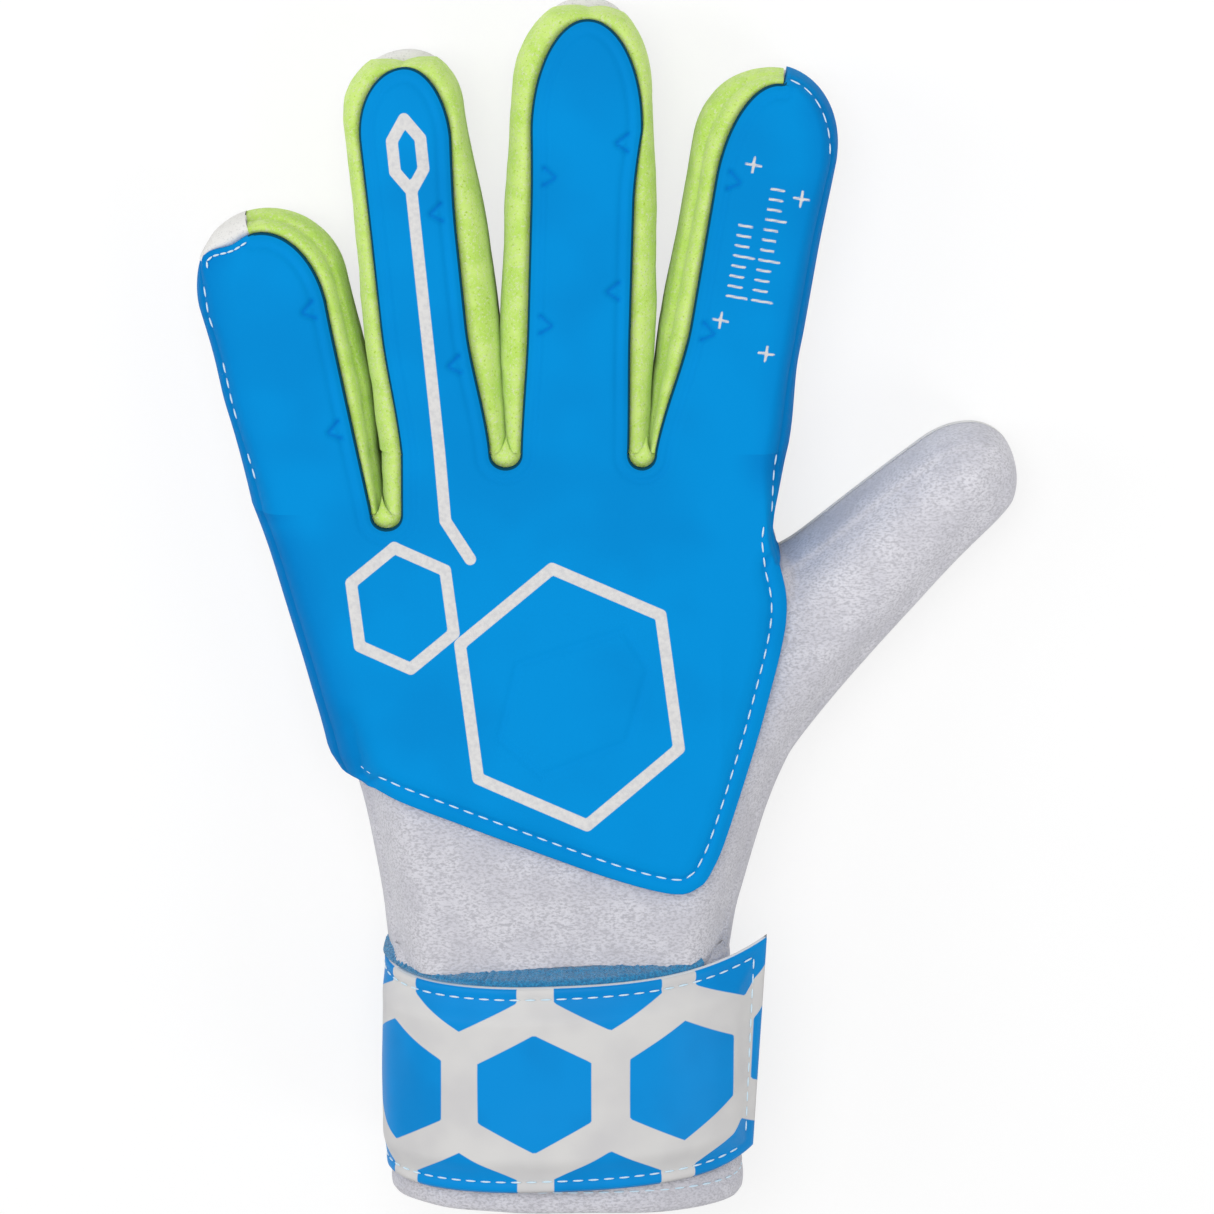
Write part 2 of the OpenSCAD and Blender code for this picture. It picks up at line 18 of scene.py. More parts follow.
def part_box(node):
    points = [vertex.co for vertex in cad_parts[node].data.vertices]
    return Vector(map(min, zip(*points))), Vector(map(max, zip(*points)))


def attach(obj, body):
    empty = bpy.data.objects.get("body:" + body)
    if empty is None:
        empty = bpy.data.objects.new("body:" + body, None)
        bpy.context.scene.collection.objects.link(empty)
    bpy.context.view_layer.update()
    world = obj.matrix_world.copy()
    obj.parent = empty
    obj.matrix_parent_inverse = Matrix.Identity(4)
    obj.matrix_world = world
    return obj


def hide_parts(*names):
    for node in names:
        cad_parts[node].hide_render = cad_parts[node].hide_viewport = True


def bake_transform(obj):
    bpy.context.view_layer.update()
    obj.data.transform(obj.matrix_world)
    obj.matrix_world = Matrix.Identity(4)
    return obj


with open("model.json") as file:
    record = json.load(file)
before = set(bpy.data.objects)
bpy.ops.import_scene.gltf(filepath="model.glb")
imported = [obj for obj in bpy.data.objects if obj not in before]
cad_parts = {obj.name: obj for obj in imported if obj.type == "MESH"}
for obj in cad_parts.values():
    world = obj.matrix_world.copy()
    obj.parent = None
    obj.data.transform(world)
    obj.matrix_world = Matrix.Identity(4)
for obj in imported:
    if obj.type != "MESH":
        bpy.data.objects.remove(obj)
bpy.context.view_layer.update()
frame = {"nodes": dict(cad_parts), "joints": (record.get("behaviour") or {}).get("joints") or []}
MM = 0.001
hinges = {joint["child"]: joint for joint in frame["joints"]}

# %% [markdown]
# ## Small tools
# The glove's panels are flat patterns that a worker cuts and sews, so the script works in plan too: smooth
# curves through a few chosen points, and the distance from any place to those curves.

# %% Curves in plan, in millimetres
def lerp(a, b, k):
    return a + (b - a) * k


def ease(k):
    k = np.clip(k, 0, 1)
    return k * k * (3 - 2 * k)


def curve(points, step=1.0):
    """Points along a smooth curve through the given ones (Catmull-Rom)."""
    p = np.array(points, float)
    p = np.vstack([2 * p[0] - p[1], p, 2 * p[-1] - p[-2]])
    out = []
    for a, b, c, d in zip(p, p[1:], p[2:], p[3:]):
        n = max(1, int(np.linalg.norm(c - b) / step))
        for k in np.arange(n) / n:
            out.append(0.5 * (2 * b + (c - a) * k + (2 * a - 5 * b + 4 * c - d) * k * k
                              + (3 * b - a - 3 * c + d) * k ** 3))
    return np.array(out + [p[-2]])


def nearest(places, line):
    """The distance to a polyline, and how far along it the nearest point is, as an index with a fraction."""
    a, b = line[:-1], line[1:]
    way = b - a
    size = np.maximum((way ** 2).sum(1), 1e-9)
    far, index = np.full(len(places), 1e9), np.zeros(len(places))
    for start in range(0, len(places), 4000):
        p = places[start:start + 4000]
        k = np.clip(((p[:, None] - a) * way).sum(2) / size, 0, 1)
        gap = np.linalg.norm(p[:, None] - (a + k[..., None] * way), axis=2)
        best = gap.argmin(1)
        row = np.arange(len(p))
        far[start:start + 4000] = gap[row, best]
        index[start:start + 4000] = best + k[row, best]
    return far, index


def far_from(places, lines):
    """The distance to the nearest of some polylines."""
    return np.min([nearest(places, line)[0] for line in lines], axis=0)


def walked(line):
    """How far along a line each of its points is."""
    return np.append(0, np.cumsum(np.linalg.norm(np.diff(line, axis=0), axis=1)))


def inside(places, loop):
    """True for the places inside a closed outline, by counting its crossings."""
    x, y = places[:, 0][:, None], places[:, 1][:, None]
    a, b = loop, np.roll(loop, -1, 0)
    spans = (a[:, 1] > y) != (b[:, 1] > y)
    rise = np.where(b[:, 1] == a[:, 1], 1e-9, b[:, 1] - a[:, 1])
    return (spans & (x < (b[:, 0] - a[:, 0]) * (y - a[:, 1]) / rise + a[:, 0])).sum(1) % 2 == 1


def ripple(places, size, seed):
    """Smooth noise from -1 to 1 with features of that size in millimetres."""
    return np.array([noise.noise((p[0] / size, p[1] / size, seed)) for p in places])

# %% [markdown]
# ## The fingers' patterns
# Each finger has two outlines: the edge of the blue foam on top, and the glove's own silhouette, which lies
# further out by the width of gusset that shows. The two are sampled in pairs, so that a gusset, or the foam's
# rolled edge, is a strip from one to the other. The root and direction of a finger come from its joint.

# %% The fingers' outlines
STEP = 0.4                              # between the points of a foam panel
CUT, ROLL, HEM, BUTT = 0, 1, 2, 3       # how the foam ends: over a gusset, rolled down, over knit, at a bend line
PALM_INSET = 0.8
SIDE_POINTS, TIP_POINTS = 72, 40        # of a finger's outline, up one side and round half of its tip
INDEX_TURN = 88                         # where the index finger's roll ends, in degrees round its tip
FINGERS = ("pinky", "ring", "middle", "index")


def make_finger(name, root_w, mid_w, tip_len, left, right, tip_gap, longer):
    """left and right: (kind, gusset shown at the root, the middle and near the tip, length of the foam's round
    end, angle round that end up to which the kind holds, slimmer by at the middle and the tip, how far the foam
    reaches out where it ends)."""
    joint = hinges[name]
    root = np.array(joint["pos_m"][:2]) / MM
    ahead = np.array([joint["axis"][1], -joint["axis"][0]])
    side = np.array([-joint["axis"][0], -joint["axis"][1]])
    length = (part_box(name + "_palm")[1].y / MM - root[1]) / ahead[1] + PALM_INSET + longer
    f = SimpleNamespace(name=name, root=root, ahead=ahead, side=side, length=length)
    f.half = lambda s: lerp(root_w, mid_w, ease(s / 25))

    def pair(sign, kind, show0, show1, show2, round_len, turn, slim1, slim2, reach_out=0.0):
        def shown(s):
            return lerp(lerp(show0, show1, ease(s / 25)), show2, ease((s - length * 0.55) / (length * 0.35)))

        def slimmer(s):
            return lerp(slim1 * ease(s / 20), slim2, ease((s - length * 0.5) / (length * 0.35)))

        lines, kinds = ([], []), []
        ends = ((length - tip_gap, round_len, shown), (length, tip_len, slimmer))
        for k in np.linspace(0, 1, SIDE_POINTS)[:-1]:
            for line, (end, reach, less) in zip(lines, ends):
                s = k * (end - reach)
                t = sign * (f.half(s) - less(s))
                line.append(root + (s - (1 - k) * t * side[1] / ahead[1]) * ahead + t * side)
            kinds.append(kind)
        for a in np.linspace(0, 90, TIP_POINTS):
            for line, (end, reach, less) in zip(lines, ends):
                s = end - reach + reach * math.sin(math.radians(a))
                t = sign * (f.half(s) - less(end - reach)) * math.cos(math.radians(a))
                line.append(root + s * ahead + t * side)
            lines[0][-1] = lerp(lines[0][-1], lines[1][-1], reach_out * math.exp(-((a - turn) / 16) ** 2))
            kinds.append(kind if a < turn else CUT)
        return np.array(lines[0]), np.array(lines[1]), np.array(kinds)

    lf, ls, lk = pair(-1, *left)
    rf, rs, rk = pair(1, *right)
    f.edge = np.vstack([lf, rf[-2::-1]])
    f.skin = np.vstack([ls, rs[-2::-1]])
    f.kind = np.concatenate([lk, rk[-2::-1]])
    f.tip = len(lf) - 1
    return f


glove = {
    "pinky": make_finger("pinky", 13.2, 15.4, 16.5, (ROLL, 7, 7, 4, 15, 40, 1.3, 0.3, 0.8),
                         (CUT, 2.2, 4.6, 4.2, 16, 90, 0, 0), 4.2, -2.3),
    "ring": make_finger("ring", 12.3, 12.9, 12.2, (CUT, 4.4, 3.6, 3.4, 13, 90, 0, 0.0),
                        (CUT, 3.3, 6.0, 4.8, 14, 90, 0, 2.2), 3.4, -1.9),
    "middle": make_finger("middle", 13.9, 15.0, 19, (CUT, 3.2, 5.0, 4.2, 21, 90, -0.5, 0.4),
                          (CUT, 3.9, 5.4, 2.6, 21, 90, 0.5, 2.2), 4.2, 0.0),
    "index": make_finger("index", 14.2, 15.2, 16.5, (CUT, 1.9, 5.6, 5.6, 20, 90, 0, 0),
                         (ROLL, 6, 7, 5, 15, INDEX_TURN, 2.0, 1.5), 3.0, -1.1),
}
pinky, ring, middle, index = glove.values()
neighbours = ((pinky, ring), (ring, middle), (middle, index))
for f in glove.values():
    print(f.name, "length %.1f mm" % f.length)

# %% [markdown]
# ## The hand's pattern
# The foam's outline on the hand runs from the little finger's root, round the three crotches, down the index
# side, along its free edge over the thumb's base, along the slanted hem and back up the little finger's side.

# %% The hand's outlines
CROTCH_DEPTH, FOLD_HEIGHT = 3.2, 3.6
JUST_IN = 0.01                          # keeps the ends of a finger's bend line apart from the crotches' ends
LEFT_SIDE = [(-45.5, -15.6), (-46.8, -10), (-49.8, 1), (-53.4, 13), (-57.0, 25)]
INDEX_SIDE = [(47.2, 42), (46.0, 36), (45.1, 31.6), (44.9, 28.2), (45.8, 24.6)]
THUMB_SIDE = [(45.4, 23.4), (46.6, 18), (46.6, 12.6), (45.6, 7), (44.2, 1.4), (41.3, -9), (37.8, -20),
              (34.0, -31), (31.6, -36)]
HEM_LINE = [(29.4, -38.4), (24.6, -39.6), (12, -36.3), (-8, -29.2), (-24, -23.5), (-33, -20.2)]
HEEL = [((-34.6, -19.6), (-38.2, -20.8)), ((-37.2, -17.6), (-43.0, -19.2))]


def outward(line):
    """The way out at each point of a line that runs clockwise round the glove."""
    way = np.gradient(line, axis=0)
    return np.stack([-way[:, 1], way[:, 0]], 1) / np.maximum(np.linalg.norm(way, axis=1), 1e-9)[:, None]


def crotch(one, other):
    """The foam's edge round a crotch, from one finger's root to the next one's, and the fold in its middle."""
    a, b = one.edge[-1], other.edge[0]
    mid = (one.skin[-1][0] + other.skin[0][0]) / 2
    low = min(a[1], b[1])
    edge, fold = [], []
    for turn in np.radians(np.linspace(0, 180, 32)):
        edge.append((lerp(a[0], b[0], 0.5 - 0.5 * math.cos(turn)), low - CROTCH_DEPTH * math.sin(turn) ** 0.9))
        fold.append((mid, low + FOLD_HEIGHT * math.sin(turn)))
    for y in np.linspace(low, b[1], 18)[1:] if b[1] > low + 1 else ():
        edge.append((b[0], y))
        fold.append((mid, y))
    return np.array(edge), np.array(fold)


def inset_pair(points, width):
    """A side of the hand where the foam rolls down: the shoulder line inside it, and the silhouette."""
    skin = curve(points)
    w = lerp(width[0], width[1], ease(np.linspace(0, 1, len(skin))))
    return skin - outward(skin) * w[:, None], skin


crotches = [crotch(*pair) for pair in neighbours]


def hand_outline():
    parts = []
    for f, fold in zip(glove.values(), (*crotches, None)):
        bend = np.array([f.edge[0] + (JUST_IN, 0), f.edge[-1] - (JUST_IN, 0)])
        parts.append((bend, f.skin[[0, -1]], BUTT))
        if fold:
            parts.append((*fold, CUT))
    edge, skin = inset_pair([index.skin[-1]] + INDEX_SIDE, (6, 1.4))
    below = edge[:, 1] < index.edge[-1][1] - STEP
    parts.append((np.vstack([index.edge[-1], edge[below]]), np.vstack([skin[0], skin[below]]), ROLL))
    free = np.vstack([curve(THUMB_SIDE), curve(THUMB_SIDE[-2:] + HEM_LINE)[6:]])
    parts.append((free, free + outward(free), HEM))
    edge, skin = inset_pair(LEFT_SIDE + [pinky.skin[0]], (8, 7))
    below = edge[:, 1] < pinky.edge[0][1] - STEP
    heel = np.array(HEEL)
    parts.append((np.vstack([heel[:, 0], edge[below], pinky.edge[0]]),
                  np.vstack([heel[:, 1], skin[below], skin[-1]]), ROLL))
    edges, skins, kinds = zip(*parts)
    kind = np.concatenate([np.full(len(edge), kind) for edge, kind in zip(edges, kinds)])
    return SimpleNamespace(name="hand", edge=np.vstack(edges), skin=np.vstack(skins), kind=kind, free=free)


hand = hand_outline()
print("the hand's outline has", len(hand.edge), "points")

# %% [markdown]
# ## Heights
# The back of the hand is highest at the cuff and falls towards the fingertips. Near a sewn edge the foam is
# pinched: it stands lower over the last millimetres, with an embossed line inside a gusset's edge and a
# stitched line inside the free hem. Small chevrons are pressed in beside the fingers' joints.

# %% The foam's height and its relief
PALM_TOP, FOAM = 5.2, 4.6
EMBOSS_IN, DART_IN, STITCH_IN = 2.2, 4.4, 2.7
THUMB_OUTLINE = curve([
    (46.0, 23.2), (50.4, 26.0), (61.5, 34.8), (72, 42.9), (77.6, 46.8), (82.6, 48.5), (87.6, 48.3), (91.7, 45.6),
    (93.9, 40.6), (94.0, 35.2), (91.4, 30.6), (80, 19.1), (62, -1.1), (51, -14.4), (47.5, -20.2), (44.6, -27.0),
    (42.2, -34.4), (40.0, -42), (38.1, -49), (36.8, -57)])
WRIST_LEFT = curve([(-33.4, -57), (-34.6, -46), (-36.3, -36), (-38.4, -26), (-41, -18), (-44.6, -10.6)])
thumb_at = np.array(hinges["thumb"]["pos_m"][:2]) / MM
thumb_way = np.array([hinges["thumb"]["axis"][1], -hinges["thumb"]["axis"][0]])


def crest(p):
    """The foam's height before its relief, at places in plan."""
    x, y = p[:, 0], p[:, 1]
    back = 46.5 - 18.5 * ease((y + 60) / 120) - 0.06 * np.maximum(0, y - 50)
    back -= 2.0 * ((x + 4) / 48) ** 2 * (1 - ease((y - 20) / 30))
    out = np.clip((x - 34) / 34, 0, 1) * (1 - np.clip(-y / 52, 0, 1)) * (1 - ease((y - 28) / 16))
    high = lerp(back, 26 + FOAM - 4.5 * ease((p - thumb_at) @ thumb_way / 36), out)
    near_crotch = ease((y - 10) / 10) * (1 - ease((x - 44) / 5))
    side = np.minimum(nearest(p, THUMB_OUTLINE)[0] + 12 * near_crotch, nearest(p, WRIST_LEFT)[0])
    return PALM_TOP + (high - PALM_TOP) * dome(side)


def dome(d, power=2.4):
    """How the knit rounds down to the glove's sides: 0 at the silhouette, 1 from 12 mm inwards."""
    return (1 - (1 - np.clip(d / 12.0, 0, 1)) ** power) ** (1 / power)


def along_finger(f, p):
    return (p - f.root) @ f.ahead, (p - f.root) @ f.side


def crown(f, p):
    """How much lower than the crest a finger's foam is: round across it, and falling at its tip."""
    s, t = along_finger(f, p)
    u = t / f.half(s)
    steep = 0.05 if f.name == "pinky" else 0.0
    return 1.6 * u * u * ease(s / 20) + 3.4 * np.clip((s - f.length + 20) / 20, 0, 1.2) ** 2 \
        + steep * np.maximum(0, s - 6) * ease((s - 6) / 10)


def dart(f, sign, s):
    """A chevron pressed into a finger's foam, pointing in from the gusset's edge."""
    along, across = along_finger(f, f.edge[:f.tip] if sign < 0 else f.edge[f.tip:])
    order = np.argsort(along)
    t = np.interp(s, along[order], across[order])
    return np.array([f.root + (s + ds) * f.ahead + (t - sign * dt) * f.side
                     for ds, dt in ((1.9, EMBOSS_IN), (0.2, DART_IN), (-0.2, DART_IN * 0.96), (-1.5, EMBOSS_IN))])


gap_lines = [np.vstack([a.edge[a.tip:], edge, b.edge[:b.tip + 1]])
             for (a, b), (edge, _) in zip(neighbours, crotches)]
darts = [dart(*spot) for spot in (
    (pinky, 1, 39), (pinky, 1, 15), (ring, 1, 47), (ring, 1, 17), (middle, 1, 61), (middle, 1, 32),
    (middle, -1, 54), (middle, -1, 25), (index, -1, 53), (index, -1, 23))]
emboss = np.array([(14.8, 11.6), (19.6, 4.2), (15.4, -9.8), (-1.4, -16.2), (-9.8, -9.0), (-6.2, 5.2), (14.8, 11.6)])


def relief(p):
    """How far the foam is pressed down at places in plan."""
    d = far_from(p, gap_lines)
    wave = 0.5 + 0.5 * ripple(p, 14, 3)
    down = 0.5 * (1 - np.clip(d / 1.4, 0, 1)) ** 2 + 0.16 * (1 - ease((d - 1.4) / 1.8))
    down += (0.16 + 0.24 * wave) * np.exp(-((d - EMBOSS_IN) / 0.62) ** 2)
    for line in darts:
        down += 0.6 * np.exp(-(nearest(p, line)[0] / 0.5) ** 2)
    down += 0.3 * np.exp(-(nearest(p, emboss)[0] / 0.8) ** 2)
    h = nearest(p, hand.free)[0]
    down += 1.15 * (1 - ease((h - 1.2) / 4.6)) + 0.55 * np.exp(-((h - STITCH_IN) / 0.55) ** 2)
    down += 0.45 * (1 - np.clip(h / 1.5, 0, 1)) ** 2
    return down - 0.22 * ripple(p, 17, 8) - 0.05 * ripple(p, 5, 2)

# %% [markdown]
# ## Cutting a panel
# A panel is a fine grid cut to its pattern: the grid's border is drawn onto the outline, the sheet is raised to
# its height, and rings of faces extruded from the border make the foam's cut side or its roll round the hand.
# Neighbouring panels share one lattice, so they meet without a step at a finger's bend line.

# %% Panels
# The way out and down of each ring: shares of the way to the silhouette and to the palm, then millimetres
ROLL_OUT = [0.12, 0.23, 0.34, 0.43, 0.49, 0.525, 0.545, 0.64, 0.81, 0.95, 1.0, 0.95]
ROLL_DOWN = [0.007, 0.027, 0.056, 0.092, 0.125, 0.150, 0.190, 0.200, 0.34, 0.60, 0.80, 1.0]
CUT_OUT = [0.12, 0.24, 0.33, 0.36, 0.36, 0.34, 0.3, 0.2, 0.0, -0.5, -1.2, -2.0]
CUT_DOWN = [0.05, 0.17, 0.38, 0.7, 1.1, 1.6, 2.1, 2.6, 2.9, 3.1, 3.2, 3.25]
RINGS = len(ROLL_OUT)
SEAM_RING = 4               # the ring of a rolled side that its stitches lie on
HEM_SHARE = 0.95            # the free hem's depth, as a share of a cut side's


def to_mesh(bm, name):
    """A finished piece from a bmesh in millimetres."""
    bmesh.ops.scale(bm, vec=(MM, MM, MM), verts=bm.verts)
    mesh = bpy.data.meshes.new(name)
    bm.to_mesh(mesh)
    bm.free()
    for polygon in mesh.polygons:
        polygon.use_smooth = True
    piece = bpy.data.objects.new(name, mesh)
    bpy.context.scene.collection.objects.link(piece)
    return piece


def closed(line):
    return np.vstack([line, line[:1]])


def on_line(line, index):
    """The places at fractional indices of a line."""
    i = np.minimum(index.astype(int), len(line) - 2)
    return line[i] + (line[i + 1] - line[i]) * (index - i)[:, None]


def in_plan(verts):
    return np.array([v.co.xy for v in verts])


def cut_sheet(outline, step, corners=()):
    """A bmesh grid cut to a closed outline, its border drawn onto it, with border points at the corners."""
    loop = closed(outline)
    lo = np.floor(outline.min(0) / step - 1) * step
    n = np.ceil((outline.max(0) - lo) / step + 1).astype(int)
    bm = bmesh.new()
    bmesh.ops.create_grid(bm, x_segments=int(n[0]), y_segments=int(n[1]), size=1)
    p = (in_plan(bm.verts) + 1) / 2 * n * step + lo
    far, within = nearest(p, loop)[0], inside(p, outline)
    for v, q in zip(bm.verts, p):
        v.co = (q[0], q[1], 0)
    cut = [v for v, f, i in zip(bm.verts, far, within) if not i and f > step * 0.5]
    bmesh.ops.delete(bm, geom=cut, context="VERTS")
    bmesh.ops.delete(bm, geom=[v for v in bm.verts if not v.link_faces], context="VERTS")
    rim = [v for v in bm.verts if v.is_boundary]
    for v, q in zip(rim, on_line(loop, nearest(in_plan(rim), loop)[1])):
        v.co.xy = q
    for corner in corners:
        closest = min(rim, key=lambda v: (v.co.xy - Vector(corner)).length)
        closest.co.xy = corner
    return bm


def raise_sheet(bm, height):
    for v, z in zip(bm.verts, height(in_plan(bm.verts))):
        v.co.z = z


def border_beside(bm, line, solid):
    """A sheet's border edges that lie beside the solid segments of its outline."""
    border = [e for e in bm.edges if e.is_boundary]
    middle = np.array([(e.verts[0].co.xy + e.verts[1].co.xy) / 2 for e in border])
    part = np.minimum(nearest(middle, line)[1].astype(int), len(solid) - 1)
    return [e for e, i in zip(border, part) if solid[i]]


def nearest_part(places, line, solid):
    """As nearest(), on the line's solid segments only: the fractional index."""
    keep = np.where(solid)[0]
    best, index = np.full(len(places), 1e9), np.zeros(len(places))
    for group in np.split(keep, np.where(np.diff(keep) > 1)[0] + 1):
        far, i = nearest(places, line[group[0]:group[-1] + 2])
        closer = far < best
        best[closer] = far[closer]
        index[closer] = i[closer] + group[0]
    return index


def add_rings(bm, edges, ring):
    """Rings of faces from the given border edges. ring(places, level) gives the next level's points."""
    verts = list({v for e in edges for v in e.verts})
    base = np.array([v.co for v in verts])
    place = {tuple(np.round(v.co, 5)): i for i, v in enumerate(verts)}
    for level in range(RINGS):
        made = bmesh.ops.extrude_edge_only(bm, edges=edges)["geom"]
        fresh = {g for g in made if isinstance(g, bmesh.types.BMVert)}
        edges = [g for g in made if isinstance(g, bmesh.types.BMEdge) and set(g.verts) <= fresh]
        points = ring(base, level)
        moved = {}
        for v in fresh:
            i = place[tuple(np.round(v.co, 5))]
            v.co = points[i]
            moved[tuple(np.round(v.co, 5))] = i
        place = moved


def foam_height(f):
    """The height of a finger's foam or the hand's, as a function of places in plan."""
    return lambda p: crest(p) - relief(p) - (0 if f is hand else crown(f, p))


def foam_panel(f):
    """A blue panel from its paired outlines: the cut sheet, its relief, and its sides."""
    bend = f.kind == BUTT
    bm = cut_sheet(f.edge, STEP, f.edge[bend != np.roll(bend, 1)] if f is hand else f.edge[[0, -1]])
    raise_sheet(bm, foam_height(f))
    edge, skin = closed(f.edge), closed(f.skin)
    kind = np.append(f.kind, f.kind[0])
    solid = (kind[:-1] != BUTT) | (kind[1:] != BUTT)
    solid[-1] = f is hand
    way_out = outward(edge)
    last = len(kind) - 1

    def ring(base, level):
        i = nearest_part(base[:, :2], edge, solid)
        k = kind[np.minimum(i.astype(int), last)]
        beyond = np.where(i > last - 1, last - 1, np.minimum(i.astype(int) + 1, last))
        k = np.where(k == BUTT, kind[beyond], k)
        a, b, n = on_line(edge, i), on_line(skin, i), on_line(way_out, i)
        way = np.where((k == ROLL)[:, None], (b - a) * ROLL_OUT[level], n * CUT_OUT[level])
        down = np.where(k == ROLL, (base[:, 2] - PALM_TOP) * ROLL_DOWN[level],
                        CUT_DOWN[level] * np.where(k == HEM, HEM_SHARE, 1))
        return np.column_stack([a + way, base[:, 2] - down])

    sheet = set(bm.verts)
    add_rings(bm, border_beside(bm, edge, solid), ring)
    flank[f.name] = np.array([v not in sheet for v in bm.verts])
    return to_mesh(bm, f.name + "_foam")


flank = {}                  # for each panel, which of its vertices are on its sides
foam = {name: foam_panel(f) for name, f in (("hand", hand), *glove.items())}
print("foam panels:", {name: len(piece.data.polygons) for name, piece in foam.items()})

# %% [markdown]
# ## Gussets
# A gusset is the knitted strip that joins the back of a finger to its palm. It puffs up beside the foam, folds
# into a crease, and bulges out again at the silhouette before it goes down to the latex. Each one is a grid
# with one row per step along the seam and one column per step across the strip.

# %% Strips between the foam's edge and the silhouette
# Across a strip: (share of the width shown, then millimetres, out of the foam's edge; millimetres below it)
PLAIN = [(0, -1.2, 3.3), (0, -0.1, 2.4), (0.12, 0, 1.5), (0.32, 0, 1.1), (0.58, 0, 1.6), (0.80, 0, 2.8),
         (0.95, 0, 5.0), (1, 0.1, 8.5), (1.0, 0, 13)]
FOLDED = [(0, -1.2, 3.3), (0, -0.1, 2.4), (0.10, 0, 1.3), (0.27, 0, 0.9), (0.45, 0, 1.6), (0.57, 0, 3.2),
          (0.61, 0, 5.2), (0.74, 0, 5.3), (0.90, 0, 7.0), (1, 0, 10), (1.0, 0, 13)]
ACROSS_STEPS, ROUGH = 26, 0.35
FULLER = 0.45               # how far a gusset swells past the silhouette beside the fingers' roots
# How much of the palm shows past a gusset's end: the depth and half the width of a lens, or the depth of a rim
TIP_LENS = {"ring": (2.7, 6.4), "middle": (2.1, 7.0)}
TIP_RIM = {"index": 0.2}
CAP = (39, 86)              # the little finger's cap, in degrees round its tip


def smooth(points, n):
    """n+1 points evenly along a smooth curve."""
    line = curve(points, 0.02 * np.ptp(np.array(points), axis=0).max())
    far = walked(line)
    return np.column_stack([np.interp(np.linspace(0, far[-1], n + 1), far, row) for row in line.T])


def grid_piece(name, points, wrap=False, flip=False):
    """A piece from a grid of points, made by moving a bmesh grid onto them. uv is in millimetres."""
    rows, cols = points.shape[:2]
    bm = bmesh.new()
    bmesh.ops.create_grid(bm, x_segments=cols - 1, y_segments=rows - 1, size=1)
    uv = bm.loops.layers.uv.new("UVMap")
    along = np.cumsum(np.linalg.norm(np.diff(points, axis=0, prepend=points[:1]), axis=2).mean(1))
    across = np.cumsum(np.linalg.norm(np.diff(points, axis=1, prepend=points[:, :1]), axis=2).mean(0))
    spot = {}
    for v in bm.verts:
        j, i = round((v.co.x + 1) / 2 * (cols - 1)), round((v.co.y + 1) / 2 * (rows - 1))
        spot[v] = (across[j], along[i])
        v.co = points[i, j]
    for face in bm.faces:
        for loop in face.loops:
            loop[uv].uv = spot[loop.vert]
    if wrap:
        bmesh.ops.remove_doubles(bm, verts=bm.verts, dist=0.01)
    if flip:
        bmesh.ops.reverse_faces(bm, faces=bm.faces)
    return to_mesh(bm, name)


def strip(name, edge, skin, top, section, seed, low=0.0, short=0.0):
    """A gusset along paired lines. top is the foam's height at the edge, low the palm's curl, and short the
    palm's rim that is left showing."""
    width = np.linalg.norm(skin - edge, axis=1)
    way = np.where((width > 0.3)[:, None], (skin - edge) / np.maximum(width, 0.3)[:, None], outward(edge))
    rows = []
    for e, w, n, t, up in zip(edge, width - short, way, top, PALM_TOP + low + np.zeros(len(edge))):
        line = [(share * w + mm, t - down) for share, mm, down in section if t - down > up + 2.2]
        line = smooth(line + [(w, up + 1.8), (w - 0.9, up)], ACROSS_STEPS)
        lump = ROUGH * (noise.noise((*e / 6, seed)) + 0.4 * noise.noise((*e / 2, seed)))
        push = lump * np.sin(np.linspace(0, math.pi, len(line)))
        rows.append(np.column_stack([e + n * (line[:, :1] + 0.6 * push[:, None]), line[:, 1] + push]))
    return grid_piece(name, np.array(rows))


def curl(f, p):
    """How far a finger's palm turns up at its tip."""
    return 4 * np.clip((along_finger(f, p)[0] - f.length + 14) / 14, 0, 1) ** 2


def finger_strip(name, f, first, last, section, seed):
    """A gusset along part of a finger's outline, from one index to another."""
    edge, skin = f.edge[first:last], f.skin[first:last]
    s, t = along_finger(f, skin)
    skin = skin + outward(skin) * (FULLER * (1 - ease((s - 26) / 16)) * (f.kind[first:last] == CUT))[:, None]
    if f.name in TIP_LENS:
        deep, half = TIP_LENS[f.name]
        bare = deep * np.clip(1 - np.abs(t) / half, 0, 1) ** 0.8 * (s > f.length - 6)
    else:
        bare = TIP_RIM.get(f.name, 0) * tip_share(f, s)
    return strip(name, edge, skin, foam_height(f)(edge), section, seed, curl(f, skin), bare)


def tip_share(f, s):
    """0 along a finger, 1 over its last millimetres."""
    return ease((s - f.length + 4.5) / 3)


def turn_index(f, sign, angle):
    """The index of the outline point at an angle round the tip's arc, from one side."""
    index = SIDE_POINTS - 1 + int(angle / 90 * (TIP_POINTS - 1))
    return index if sign < 0 else len(f.edge) - 1 - index


gussets = {name: (f.name, finger_strip(name, f, first, last, section, seed))
           for seed, (name, f, first, last, section) in enumerate((
               ("pinky_gusset", pinky, turn_index(pinky, -1, CAP[1]), None, FOLDED),
               ("pinky_cap", pinky, turn_index(pinky, -1, CAP[0]), turn_index(pinky, -1, CAP[1]) + 1, PLAIN),
               ("ring_gusset", ring, 0, None, PLAIN), ("middle_gusset", middle, 0, None, PLAIN),
               ("index_gusset", index, 0, turn_index(index, 1, INDEX_TURN), FOLDED)), 1)}
for seed, (name, (edge, fold)) in enumerate(zip(("web_one", "web_two", "web_three"), crotches), 6):
    gussets[name] = ("hand", strip(name, edge, fold, foam_height(hand)(edge), PLAIN, seed))
print("gussets:", sorted(gussets))

